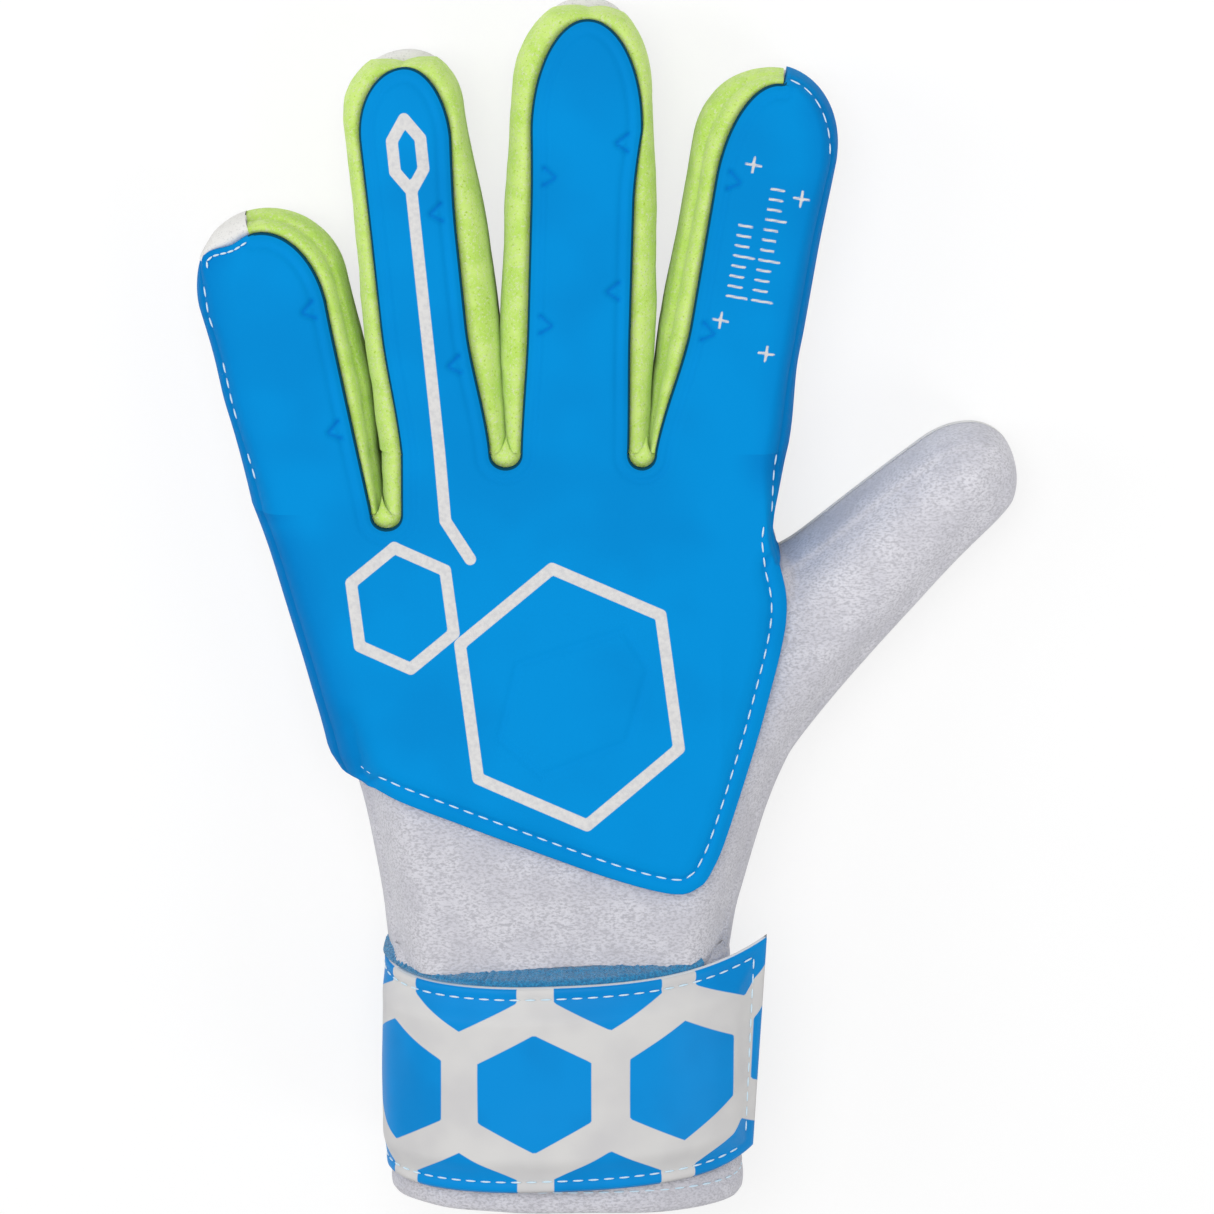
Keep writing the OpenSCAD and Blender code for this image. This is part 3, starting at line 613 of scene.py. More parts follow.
# %% [markdown]
# ## Knitted skin
# Under the foam, the wrist and the thumb are one piece of brushed white knit. It is a dome over the hand: flat on
# top, round at its sides. It is cut a little inside the silhouette, because a height field can't turn under, and
# rings from its border carry on down to the palm.

# %% The knit of the wrist and thumb
KNIT_STEP, KNIT_IN = 0.6, 3.0
CROTCH_TUCK = [(40.0, 28.5), (42.6, 27.0), (44.2, 25.2)]        # where it carries on under the foam
UNDER_FOAM = [(-37, -11), (-33, -12), (-24, -16), (-8, -22.6), (12, -31), (24, -34.6), (27.4, -34), (30, -30),
              (33.6, -20), (37.4, -9), (40.4, 1.4), (42, 8), (42.2, 12), (40.8, 18), (39.4, 23)]


def skin_height(p):
    """The knit's height, the foam's thickness under the crest."""
    return crest(p) - FOAM * 0.97 * np.clip((crest(p) - PALM_TOP) / 20, 0, 1) \
        + 0.35 * ripple(p, 13, 5) + 0.10 * ripple(p, 3.5, 6)


def knit_panel():
    right, left = np.vstack([CROTCH_TUCK, THUMB_OUTLINE]), WRIST_LEFT[:-5]
    under = curve(UNDER_FOAM)
    outline = np.vstack([right - outward(right) * KNIT_IN, left - outward(left) * KNIT_IN, under])
    edge, skin = closed(outline), closed(np.vstack([right, left, under]))
    solid = np.arange(len(outline)) < len(right) + len(left) - 1
    solid[len(right) - 1] = False                               # the open end at the cuff
    bm = cut_sheet(outline, KNIT_STEP)
    raise_sheet(bm, skin_height)

    def ring(base, level):
        i = nearest_part(base[:, :2], edge, solid)
        a, b = on_line(edge, i), on_line(skin, i)
        last = level == RINGS - 1
        turn = math.radians(118 if last else lerp(0, 100, (level + 1) / RINGS))
        down = 1 if last else 1 - math.cos(min(turn, math.pi / 2))
        return np.column_stack([a + (b - a) * math.sin(turn), lerp(base[:, 2], PALM_TOP - 0.2, down)])

    add_rings(bm, border_beside(bm, edge, solid), ring)
    return to_mesh(bm, "knit_skin")


knit = knit_panel()
print("knit:", len(knit.data.polygons), "faces")

# %% [markdown]
# ## Latex palm
# The palm is a sheet of white latex foam that lies flat on the table. Its edges roll up to meet the gussets and
# it turns up at the fingertips. It is cut like the back, at a coarser step, and turned over.

# %% The palm
PALM_STEP, LINING_STEP = 0.8, 2.0
PALM_IN, WRAP = 2.2, 0.9            # how far its flat part and its rim lie inside the silhouette
TIP_IN = {"ring": 0.65, "middle": 0.4, "pinky": 0.9, "index": 0.9}
LINING_IN, LINING = 6.0, 1.2


def palm_panel(name, skin, kind, lift):
    """A latex panel from its silhouette: flat underneath, its rim rolled up to the gussets."""
    edge = skin - outward(skin) * np.where(kind == BUTT, 0, PALM_IN)[:, None]
    bm = cut_sheet(edge, PALM_STEP)
    raise_sheet(bm, lift)
    line, rim = closed(edge), closed(skin)
    solid = (kind != BUTT) | (np.roll(kind, -1) != BUTT)

    def ring(base, level):
        i = nearest_part(base[:, :2], line, solid)
        a, b = on_line(line, i), on_line(rim, i)
        turn = math.radians(lerp(-90, 140, (level + 1) / RINGS))
        out = math.cos(turn) if turn < 0 else 1 - 1.6 * (1 - math.cos(turn))
        z = base[:, 2] + (PALM_TOP + 0.4) / 2 * (1 + math.sin(max(-math.pi / 2, min(turn, math.pi / 2))))
        return np.column_stack([a + (b - a) * out, z])

    add_rings(bm, border_beside(bm, line, solid), ring)
    bmesh.ops.reverse_faces(bm, faces=bm.faces)
    return to_mesh(bm, name)


def finger_palm(f):
    """The palm ends a little inside the silhouette, where the gusset wraps under."""
    tip = tip_share(f, along_finger(f, f.skin)[0])
    skin = f.skin - (TIP_IN[f.name] * tip)[:, None] * f.ahead
    skin -= (WRAP * (f.kind == CUT) * (1 - tip))[:, None] * outward(f.skin)
    ends = np.arange(len(skin)) % (len(skin) - 1) == 0
    return palm_panel(f.name + "_latex", skin, np.where(ends, BUTT, CUT), lambda p: curl(f, p))


def hand_palm():
    parts = []
    for f in glove.values():
        ends = (0.01 if f is pinky else WRAP, 0), (0.01 if f is index else WRAP, 0)
        parts.append((np.array([f.skin[0] + ends[0], f.skin[-1] - ends[1]]), BUTT))
        if f is pinky:
            up = np.arange(f.skin[-1][1] + 1, ring.skin[0][1], 1.0)
            parts.append((np.column_stack([np.full(len(up), ring.skin[0][0] + WRAP), up]), CUT))
    side = curve([index.skin[-1]] + INDEX_SIDE + [tuple(THUMB_OUTLINE[0])])[1:]
    left = curve([tuple(WRIST_LEFT[-1])] + LEFT_SIDE[2:] + [pinky.skin[0]])[1:-1]
    parts += [(part, CUT) for part in (side, THUMB_OUTLINE[1:], WRIST_LEFT, left)]
    kinds = np.concatenate([np.full(len(part), kind) for part, kind in parts])
    return palm_panel("hand_latex", np.vstack([part for part, _ in parts]), kinds, lambda p: np.zeros(len(p)))


def hand_lining(name, height):
    """A lining inside the hand, well inside the foam's outline."""
    bm = cut_sheet(hand.edge, LINING_STEP)
    far = nearest(in_plan(bm.verts), closed(hand.edge))[0]
    bmesh.ops.delete(bm, geom=[v for v, d in zip(bm.verts, far) if d < LINING_IN], context="VERTS")
    raise_sheet(bm, height)
    made = bmesh.ops.extrude_face_region(bm, geom=list(bm.faces))["geom"]
    for v in (g for g in made if isinstance(g, bmesh.types.BMVert)):
        v.co.z -= LINING
    bmesh.ops.recalc_face_normals(bm, faces=bm.faces)
    return to_mesh(bm, name)


linings = {"backhand_lining": hand_lining("back_lining", lambda p: skin_height(p) - 1.0),
           "palm_lining": hand_lining("front_lining", lambda p: np.full(len(p), 4.8))}
latex = {"hand": hand_palm(), **{name: finger_palm(f) for name, f in glove.items()}}
print("latex:", {name: len(piece.data.polygons) for name, piece in latex.items()})

# %% [markdown]
# ## Cuff and strap
# The cuff is a knitted sleeve with its end folded in and sewn. The strap is soft: two skins over thin foam, sewn
# round its edge, so it puffs up inside the stitched line. Both follow the oval of the forearm.

# %% The cuff's oval and the strap's course round it
low, high = (np.array(v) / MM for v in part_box("cuff_band"))
OVAL = SimpleNamespace(x=(low[0] + high[0]) / 2, z=(low[2] + high[2]) / 2, a=(high[0] - low[0]) / 2,
                       b=(high[2] - low[2]) / 2, power=2.4)
WRIST = SimpleNamespace(x=1.7, z=20.8, a=34.7, b=20.4, power=4)         # the hand's squarer end, over the cuff
CUFF_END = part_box("cuff_hem")[0].y / MM - 1.2
CUFF_SEAM, FLARE = 4.6, 3.0
STRAP_TOP, STRAP_W, TILT = -54.0, 45.0, 0.04
STRAP_SEAM = 2.6
FLAP, BASE = (190, 12), (335, 191.5)            # where the strap's parts start and end, in degrees


def oval(angle, off, at=OVAL):
    """A point of an oval at an angle in degrees, moved out along its radius."""
    c, s = np.cos(np.radians(angle)), np.sin(np.radians(angle))
    bend = 2 / at.power
    return (at.x + (at.a + off) * np.sign(c) * np.abs(c) ** bend,
            at.z + (at.b + off) * np.sign(s) * np.abs(s) ** bend)


def even_angles(start, end, n):
    """Angles that are evenly spaced along the oval."""
    a = np.linspace(start, end, 721)
    x, z = oval(a, 0)
    far = np.append(0, np.cumsum(np.hypot(np.diff(x), np.diff(z))))
    return np.interp(np.linspace(0, far[-1], n + 1), far, a), np.linspace(0, far[-1], n + 1)


def thumb_side(angle):
    return np.clip(np.cos(np.radians(angle)), 0, 1) ** 2


def cuff_sleeve():
    """The sleeve from its collar inside the hand to its folded end, and back inside."""
    angles, _ = even_angles(0, 360, 150)
    path = [(-52.8, -0.2), (-56.2, -0.2), (-59.5, -0.2), (-64, -0.1), (-80, 0), (CUFF_END + 9, 0.1),
            (CUFF_END + 5.2, 0.25), (CUFF_END + CUFF_SEAM, -0.15), (CUFF_END + 4, 0.3), (CUFF_END + 1.2, 0.4),
            (CUFF_END + 0.2, -0.2), (CUFF_END, -1.2), (CUFF_END + 0.5, -2.4), (CUFF_END + 3, -2.7),
            (-80, -1.7), (-59.5, -1.6), (-56.2, -1.6), (-52.8, -1.6)]
    rows = []
    for y, off in smooth(path, 110):
        wave = np.array([noise.noise((math.cos(a), math.sin(a), y / 14)) for a in np.radians(angles) * 2])
        flare = FLARE * ease((-95 - y) / 6) * thumb_side(angles)
        slim = off + 0.2 - 1.1 * ease((y + 56.6) / 2.4)
        collar = ease((y + 59.5) / 3.3)
        x, z = (lerp(cuff_at, wrist_at, collar) for cuff_at, wrist_at in
                zip(oval(angles, off + 0.3 * wave + flare), oval(angles, slim, WRIST)))
        rows.append(np.column_stack([x, np.full(len(x), y) - 0.5 * wave, z]))
    return grid_piece("cuff", np.array(rows), wrap=True, flip=True)


def strap_sag(a, w):
    """How far the strap hangs towards the hem over the back of the wrist."""
    return lerp(3.8, 1.5, w / STRAP_W) * max(0.0, math.sin(math.radians(a)))


def free_end(a):
    """How far the strap is on its way to the flap's free end, where it stands off the wrist."""
    return np.clip((50 - a) / 38, 0, 1) ** 2


def strap_place(a, w, off):
    """Points of the strap: an angle round the cuff, a distance from its top edge, and one from the oval."""
    x, z = oval(a, off + free_end(a) * lerp(2.2, -0.6, w / STRAP_W))
    return x, STRAP_TOP - w - strap_sag(a, w) + TILT * (x - OVAL.x) + 1.8 * free_end(a), z


def strap_piece(name, ends, off, lift, n, puff=3.1):
    """A stuffed strap between two angles. lift(angle) is its distance from the cuff."""
    angles, far = even_angles(*ends, n)
    w = smooth([(0, 0), (STRAP_W, 0)], 72)[:, 0]
    outer, inner = [], []
    for a, e in zip(angles, np.minimum(far, far[-1] - far)):
        d = np.minimum(np.minimum(w, STRAP_W - w), e)
        round_edge = np.sqrt(1 - (1 - np.clip(d / 1.1, 0, 1)) ** 2)
        full = (puff - 1.3) * lerp(0.1, 1, ease(abs(a - FLAP[0]) / 50))
        high = 0.5 + round_edge * 0.75 + full * ease((d - STRAP_SEAM) / 5.5) \
            - 0.25 * np.exp(-((d - STRAP_SEAM) / 0.5) ** 2)
        deep = 0.5 - 0.5 * round_edge
        wrinkle = np.array([noise.noise((a / 16, v / 16, ends[0])) for v in w]) * 0.35 * ease(d / 8)
        for rows, h in ((outer, high + wrinkle), (inner, deep)):
            rows.append(np.column_stack(strap_place(a, w, off + lift(a) + h)))
    points = np.concatenate([np.array(outer), np.array(inner)[:, -2:0:-1], np.array(outer)[:, :1]], axis=1)
    return grid_piece(name, points, wrap=True)


def flap_lift(a):
    return -0.6 * np.clip((a - 130) / 60, 0, 1) + 2.3 * np.clip((190 - a) / 90, 0, 1) + 3.2 * free_end(a)


def flap_place(a, w, high):
    """A point on the flap, as strap_place() has it, with a height over its underside."""
    return strap_place(a, w, 0.3 + flap_lift(a) + high)


def flap_lining():
    """The brushed loop bound into the flap's top edge, which fills the space between flap and cuff."""
    rows = []
    for a in even_angles(188, 42, 320)[0]:
        deep = -0.2 - flap_lift(a) * 0.9
        ragged = 0.5 * noise.noise((a / 1.3, 4, 0)) + 0.3 * noise.noise((a / 5, 9, 0))
        thick = 1.5 * ease((a - 100) / 30) * (1 - 0.4 * ease((a - 165) / 20))
        section = [(5, 0.2), (0.6, 0.2), (-0.9, 0.2 + thick), (-1.4 - ragged, lerp(deep, 0.1, 0.6) + thick),
                   (-2.0 - ragged, deep + 0.3 * thick), (-2.6, deep - 1.4), (5, deep - 1.4)]
        rows.append([flap_place(a, w, high) for w, high in smooth(section, 20)])
    return grid_piece("flap_lining", np.array(rows))


cuff = cuff_sleeve()
lining = flap_lining()
flap = strap_piece("strap_flap_pad", FLAP, 0.3, flap_lift, 150)
base = strap_piece("strap_base_pad", BASE, 0.2, lambda a: 0.0, 110, puff=2.4)
print("cuff and strap:", len(cuff.data.polygons), len(flap.data.polygons), len(base.data.polygons), "faces")

# %% [markdown]
# ## Printed lines
# The real glove has screen-printed white lines. The print here is a plain honeycomb motif and a tick scale. Each
# vertex stores its distance to the nearest printed line, and the material turns white where that is below zero,
# so the print follows the foam when a finger bends.

# %% The foam's print and its edges, as attributes
def attribute(piece, name, values):
    data = piece.data.attributes.new(name, "FLOAT", "POINT").data
    data.foreach_set("value", np.asarray(values, np.float32))


def plan(piece):
    co = np.zeros(len(piece.data.vertices) * 3)
    piece.data.vertices.foreach_get("co", co)
    return co.reshape(-1, 3)[:, :2] / MM


def hexagon(at, wide, tall, turn):
    """A closed hexagon with a corner at its top, before it is turned."""
    c, s = math.cos(math.radians(turn)), math.sin(math.radians(turn))
    low = tall * 0.52
    points = [(0, tall), (wide, low), (wide, -low), (0, -tall), (-wide, -low), (-wide, low), (0, tall)]
    return np.array([(at[0] + x * c - y * s, at[1] + x * s + y * c) for x, y in points])


def on_finger(f, places):
    return np.array([f.root + s * f.ahead + t * f.side for s, t in places])


def plus(f, s, t, arm=1.5):
    return [on_finger(f, [(s - arm, t), (s + arm, t)]), on_finger(f, [(s, t - arm), (s, t + arm)])]


BOLD_HALF, FINE_HALF = 1.15, 0.24               # half the widths of the printed lines
LINE_AT = -0.6                                  # the ring finger's line, across it
open_end = [(52, LINE_AT), (56, 2.2), (62, 2.2), (66, LINE_AT), (62, -3.4), (56, -3.4), (52, LINE_AT)]
bold = [hexagon((4.0, -1.0), 20, 25, 8), hexagon((-29.0, 16.0), 9.4, 11.8, 8),
        on_finger(ring, [(1, LINE_AT), open_end[0]]), on_finger(ring, open_end),
        np.vstack([on_finger(ring, [(1, LINE_AT)]), [(-20.5, 33), (-15.6, 25.6)]])]
fine = [mark for s, t in ((57, -3.2), (26, -4.4), (52, 7.2), (21, 5.6)) for mark in plus(index, s, t)]
for row, ticks in ((1.0, 12), (-4.0, 8)):
    for k in range(ticks):
        s = 31 + 2 * k
        fine.append(on_finger(index, [(s, row), (s, row + (2.6 if k % 4 else 4.0))]))
rolls = [curve(LEFT_SIDE), pinky.skin[:90], index.skin[-90:]]
for name, piece in foam.items():
    p = plan(piece)
    attribute(piece, "print", np.minimum(far_from(p, bold) - BOLD_HALF, far_from(p, fine) - FINE_HALF))
    cut = far_from(p, gap_lines)
    # rim on the foam: 0 on its cut sides within 1.2 mm of a gap beside a gusset, else the distance to that gap; the
    # material paints shade by it
    attribute(piece, "rim", np.where(flank[name] & (cut < 1.2), 0, np.minimum(cut, 9)))
    # press: the distance to the pressed chevrons, by which the material paints shade in them
    attribute(piece, "press", far_from(p, darts).clip(0, 9))
    # inward: how far a vertex is from the rolled sides, 4 mm more on a finger; the material paints shade by it
    attribute(piece, "inward", np.minimum(far_from(p, rolls) + (0 if name == "hand" else 4), 30))
print("the print has", len(bold) + len(fine), "lines")

# %% [markdown]
# ## Thread
# Lockstitch shows as short dashes that sink into the foam between them. Every dash is a small stretched sphere
# with few faces, laid along a line on the surface, and one mesh holds all the dashes of a seam.

# %% Stitches along a line of points
def stitches(name, line, pitch=3.1, dash=2.2, thick=0.2, skip=()):
    """Dashes of thread along a line in space, in millimetres."""
    far = walked(line)
    bm = bmesh.new()
    for n, d in enumerate(np.arange(0.4, far[-1] - dash, pitch)):
        a, b = (np.array([np.interp(end, far, row) for row in line.T]) for end in (d, d + dash))
        way = Vector(b - a)
        if way.length < dash * 0.5 or n in skip:
            continue
        turn = way.to_track_quat("Z", "Y").to_matrix().to_4x4()
        place = Matrix.Translation(Vector((a + b) / 2)) @ turn @ Matrix.Diagonal((thick, thick, dash / 2, 1))
        bmesh.ops.create_uvsphere(bm, u_segments=6, v_segments=5, radius=1, matrix=place)
    return to_mesh(bm, name)


def sew(name, body, line, **how):
    thread[name] = (body, stitches(name, line, **how))


def on_foam(f, line, lift=0.12):
    return np.column_stack([line, foam_height(f)(line) + lift])


def crease(f, first, last):
    """The sewn line where the foam rolls down, between two indices of an outline."""
    edge, skin = f.edge[first:last], f.skin[first:last]
    z = foam_height(f)(edge)
    out, down = ROLL_OUT[SEAM_RING], ROLL_DOWN[SEAM_RING]
    return np.column_stack([edge + (skin - edge) * out, z - (z - PALM_TOP) * down + 0.25])


thread = {}
hem = np.vstack([[(42.4, 32.2), (42.0, 29), (42.4, 25.6)], hand.free - outward(hand.free) * STITCH_IN,
                 [(-36.0, -16.6), (-38.8, -15.2)]])
rolled = np.where((hand.kind == ROLL) & (hand.edge[:, 0] > 0) & (hand.edge[:, 1] > 33))[0]
cap_seam = (pinky.edge - outward(pinky.edge) * 0.7)[turn_index(pinky, -1, 34):turn_index(pinky, -1, CAP[1])]
sew("hem_thread", "hand", on_foam(hand, hem))
sew("crotch_thread", "hand", crease(hand, rolled[0], rolled[-1]))
sew("index_thread", "index", crease(index, turn_index(index, 1, 86), turn_index(index, 1, 6)))
sew("pinky_thread", "pinky", crease(pinky, 6, turn_index(pinky, -1, 36)), skip=(0, 3, 4, 9, 10, 14))
sew("cap_thread", "pinky", on_foam(pinky, cap_seam, 0.25), pitch=1.5, dash=1.4, thick=0.22)

# %% Stitches of the strap and the cuff
OVER = 1.2                                      # the strap's seam over its underside
angles, walk = even_angles(*FLAP, 120)
between_seams = [a for a, d in zip(angles, walk) if STRAP_SEAM < d < walk[-1] - STRAP_SEAM]
for name, w in (("strap_thread_top", STRAP_SEAM), ("strap_thread_low", STRAP_W - STRAP_SEAM)):
    sew(name, "strap", np.array([flap_place(a, w, OVER) for a in between_seams]))
sew("strap_thread_end", "strap", np.array([flap_place(between_seams[-1], w, OVER) for w in
                                           np.linspace(STRAP_SEAM, STRAP_W - STRAP_SEAM, 40)]))
cuff_angles, _ = even_angles(0, 359, 200)
cuff_x, cuff_z = oval(cuff_angles, 0.1 + FLARE * thumb_side(cuff_angles))
cuff_seam = np.column_stack([cuff_x, np.full(len(cuff_x), CUFF_END + CUFF_SEAM), cuff_z])
sew("cuff_thread", "hand", cuff_seam, thick=0.22)
print("thread:", {name: len(piece.data.polygons) for name, (_, piece) in thread.items()})

# %% [markdown]
# ## Finishes
# Each finish is built from what the real material is, and the blue foam and the white knit also carry painted
# shade.
# One function turns a written sRGB colour to the linear one that the renderer uses, and one adds a node with its
# settings and links.

# %% Colours and nodes
def colour(code):
    """A linear colour with alpha from a written sRGB hex value."""
    parts = [int(code[i:i + 2], 16) / 255 for i in (1, 3, 5)]
    return (*[c / 12.92 if c <= 0.04045 else ((c + 0.055) / 1.055) ** 2.4 for c in parts], 1.0)


def node(tree, kind, inputs=None, **settings):
    """A node with its settings; an input is a value, or an output socket to link."""
    made = tree.nodes.new(kind)
    for key, value in settings.items():
        setattr(made, key, value)
    for key, value in (inputs or {}).items():
        if isinstance(value, bpy.types.NodeSocket):
            tree.links.new(value, made.inputs[key])
        else:
            made.inputs[key].default_value = value
    return made


def material(name, roughness, **sockets):
    """A new material and its tree and shader."""
    made = bpy.data.materials.new(name)
    made.use_nodes = True
    shader = made.node_tree.nodes["Principled BSDF"]
    shader.inputs["Roughness"].default_value = roughness
    for key, value in sockets.items():
        shader.inputs[key.replace("_", " ")].default_value = value
    return made, made.node_tree, shader


def mix(tree, factor, a, b):
    """Mixes two colours, given as hex values or as sockets. Sockets 6 and 7 and output 2 are the colours'."""
    a, b = (colour(c) if isinstance(c, str) else c for c in (a, b))
    return node(tree, "ShaderNodeMix", {0: factor, 6: a, 7: b}, data_type="RGBA").outputs[2]


def place(tree):
    return node(tree, "ShaderNodeTexCoord").outputs["Object"]


def stored(tree, name):
    """A number that the vertices hold."""
    return node(tree, "ShaderNodeAttribute", attribute_name=name).outputs["Fac"]


def blob(tree, millimetres, detail, stretch=(1, 1, 1), rough=0.5):
    """Noise on Object coordinates with features of that size."""
    scale = [1 / (millimetres * MM * k) for k in stretch]
    sized = node(tree, "ShaderNodeMapping", {"Vector": place(tree), "Scale": scale}).outputs["Vector"]
    return node(tree, "ShaderNodeTexNoise", {"Vector": sized, "Scale": 1.0, "Detail": detail,
                                             "Roughness": rough}).outputs[0]


def between(tree, value, low, high, a, b):
    """Mixes two colours: a below low, b above high, smooth between."""
    factor = node(tree, "ShaderNodeMapRange", {"Value": value, "From Min": low, "From Max": high},
                  interpolation_type="SMOOTHSTEP").outputs["Result"]
    return mix(tree, factor, a, b)


def bump(tree, shader, height, millimetres, strength=1.0):
    made = node(tree, "ShaderNodeBump", {"Height": height, "Distance": millimetres * MM, "Strength": strength})
    tree.links.new(made.outputs["Normal"], shader.inputs["Normal"])


def paint(tree, shader, socket):
    tree.links.new(socket, shader.inputs["Base Color"])

# %% Blue foam with its print: EVA foam under a matt polyurethane skin
foam_blue, tree, shader = material("eva_foam_blue", 0.7, Specular_IOR_Level=0.04)
skin = between(tree, blob(tree, 26, 2), 0.35, 0.68, "#0089d0", "#0082c8")
# Painted shade: the foam is darker towards its rolled sides, fully within 2 mm of them and fading out by 13 mm
skin = between(tree, stored(tree, "inward"), 2, 13, "#0074bc", skin)
# Painted shade in the pressed chevrons: darker within about half a millimetre of their lines
skin = between(tree, stored(tree, "press"), 0.0, 0.55, "#0076c4", skin)
ink = between(tree, blob(tree, 0.9, 3), 0.3, 0.75, "#d4d3d2", "#c6c6c8")
skin = between(tree, stored(tree, "print"), -0.09, 0.09, ink, skin)
# Painted shade: a dark teal on the foam's cut sides in the gaps beside the gussets and along the very edge of its
# top there
paint(tree, shader, between(tree, stored(tree, "rim"), 0.01, 0.13, "#07465f", skin))
bump(tree, shader, blob(tree, 0.35, 4), 0.03, 0.6)

# %% Yellow-green gusset: brushed polyester knit, whose short nap catches light as pale flecks
gusset_knit, tree, shader = material("brushed_knit_volt", 0.85, Specular_IOR_Level=0.2, Sheen_Weight=0.35,
                                     Sheen_Roughness=0.5)
shader.inputs["Sheen Tint"].default_value = colour("#f2ffd0")
yarn = between(tree, blob(tree, 5, 3), 0.38, 0.62, "#b9dd62", "#c8e57a")
fleck = between(tree, blob(tree, 0.6, 5, rough=0.8), 0.5, 0.64, yarn, "#d2ddb0")
paint(tree, shader, between(tree, blob(tree, 0.5, 2), 0.24, 0.42, "#a6c93c", fleck))
bump(tree, shader, blob(tree, 0.55, 5, rough=0.7), 0.22, 0.8)

# %% White knit of the wrist, thumb and cuff: the same knit undyed, its courses running across the hand
white_knit, tree, shader = material("brushed_knit_white", 0.88, Specular_IOR_Level=0.18, Sheen_Weight=0.25,
                                    Sheen_Roughness=0.5)
courses = blob(tree, 0.45, 2.5, stretch=(1.7, 0.9, 0.9), rough=0.6)
soft = between(tree, blob(tree, 7, 3), 0.36, 0.64, "#cfced6", "#dad9e0")
nap = between(tree, courses, 0.34, 0.6, "#b8b7be", soft)
# Painted shade: the knit is mixed 12 % towards dark grey below y = -30 mm, less so up to y = +30 mm, so the wrist
# and cuff are darker than the thumb
along = node(tree, "ShaderNodeSeparateXYZ", {"Vector": place(tree)}).outputs["Y"]
thumb = node(tree, "ShaderNodeMapRange", {"Value": along, "From Min": -0.03, "From Max": 0.03}).outputs["Result"]
paint(tree, shader, mix(tree, thumb, mix(tree, 0.12, nap, "#55545c"), nap))
bump(tree, shader, courses, 0.22)

# %% White latex foam of the palm: cast smooth, with fine open pores and a faint yellow cast
latex_white, tree, shader = material("latex_foam_white", 0.7, Specular_IOR_Level=0.3)
pores = blob(tree, 0.4, 3, rough=0.6)
cast = mix(tree, blob(tree, 9, 3), "#dddcda", "#e6e5e2")
paint(tree, shader, between(tree, pores, 0.3, 0.46, "#c9c8c6", cast))
bump(tree, shader, pores, 0.1, 0.6)

# %% Thread: bonded polyester, slightly glossy
thread_white, tree, shader = material("polyester_thread_white", 0.5, Specular_IOR_Level=0.3)
paint(tree, shader, mix(tree, blob(tree, 0.5, 2), "#b9d8ea", "#dcebf3"))
bump(tree, shader, blob(tree, 0.25, 2), 0.03, 0.5)

# %% Strap skin: polyurethane-coated fabric, printed, with a soft gloss
strap_skin, tree, shader = material("pu_coated_strap_blue", 0.46, Specular_IOR_Level=0.1)
skin = between(tree, blob(tree, 18, 2), 0.35, 0.65, "#0087d0", "#007fc6")
ink = between(tree, blob(tree, 12, 2), 0.3, 0.75, "#cdcccb", "#c3c2c3")
skin = between(tree, stored(tree, "print"), -0.12, 0.12, ink, skin)
paint(tree, shader, between(tree, stored(tree, "rim"), 0.35, 0.6, "#dfe3e6", skin))
bump(tree, shader, blob(tree, 0.4, 3), 0.02, 0.5)

# %% Loop pile, hook tape and lining
loop_blue, tree, shader = material("nylon_loop_blue", 0.9, Specular_IOR_Level=0.2, Sheen_Weight=0.5)
pile = blob(tree, 0.45, 5, rough=0.75)
paint(tree, shader, between(tree, pile, 0.35, 0.65, "#036296", "#1d97cf"))
bump(tree, shader, pile, 0.5)

hook_white, tree, shader = material("nylon_hook_white", 0.45, Specular_IOR_Level=0.5)
hooks = node(tree, "ShaderNodeTexVoronoi", {"Vector": place(tree), "Scale": 1 / (1.1 * MM),
                                            "Randomness": 0.15}).outputs["Distance"]
paint(tree, shader, between(tree, hooks, 0.1, 0.4, "#f0f0f0", "#c4c4c6"))
bump(tree, shader, hooks, 0.4)

lining_white, tree, shader = material("terry_lining_white", 0.92, Specular_IOR_Level=0.15, Sheen_Weight=0.3)
terry = blob(tree, 0.9, 4, rough=0.7)
paint(tree, shader, between(tree, terry, 0.32, 0.6, "#b9b9be", "#dcdce0"))
bump(tree, shader, terry, 0.35, 0.9)
print("materials:", len(bpy.data.materials))

# %% [markdown]
# ## The strap's print
# Wide honeycomb walls that bleed over the strap's edges, as the screen print does. The distance is worked out
# in the strap's own flat measure: along it and across it.

# %% The strap's print
HIVE_W, HIVE_TALL, HIVE_LINE = 14.6, 16.8, 7.4


def flat_measure(piece):
    """Where each vertex lies in the flat strap: across it and along it."""
    uv = np.zeros(len(piece.data.loops) * 2)
    piece.data.uv_layers["UVMap"].data.foreach_get("uv", uv)
    verts = np.zeros(len(piece.data.loops), int)
    piece.data.loops.foreach_get("vertex_index", verts)
    flat = np.zeros((len(piece.data.vertices), 2))
    flat[verts] = uv.reshape(-1, 2)
    return flat.T


def honeycomb(mid):
    """The walls of a row of hexagons and of the half rows above and below it: pairs of (along, across)."""
    walls = []
    for k in range(-6, 7):
        x, y = mid + 2 * k * HIVE_W, STRAP_W / 2
        for up in (-1, 1):
            corner, shoulder = y + up * HIVE_TALL, y + up * HIVE_TALL / 2
            walls += [[(x, corner), (x + side * HIVE_W, shoulder)] for side in (-1, 1)]
            walls.append([(x, corner), (x, corner + up * HIVE_TALL)])
        walls.append([(x + HIVE_W, y - HIVE_TALL / 2), (x + HIVE_W, y + HIVE_TALL / 2)])
    return [np.array(wall) for wall in walls]


for piece, mid in ((flap, 49), (base, 40)):
    across, along = flat_measure(piece)
    across = np.minimum(across, across.max() - across)
    p = np.column_stack([along, across])
    attribute(piece, "print", far_from(p, honeycomb(mid)) - HIVE_LINE / 2)
    attribute(piece, "rim", across)             # the distance from the strap's white top edge
    print(piece.name, "is", round(along.max()), "mm long")

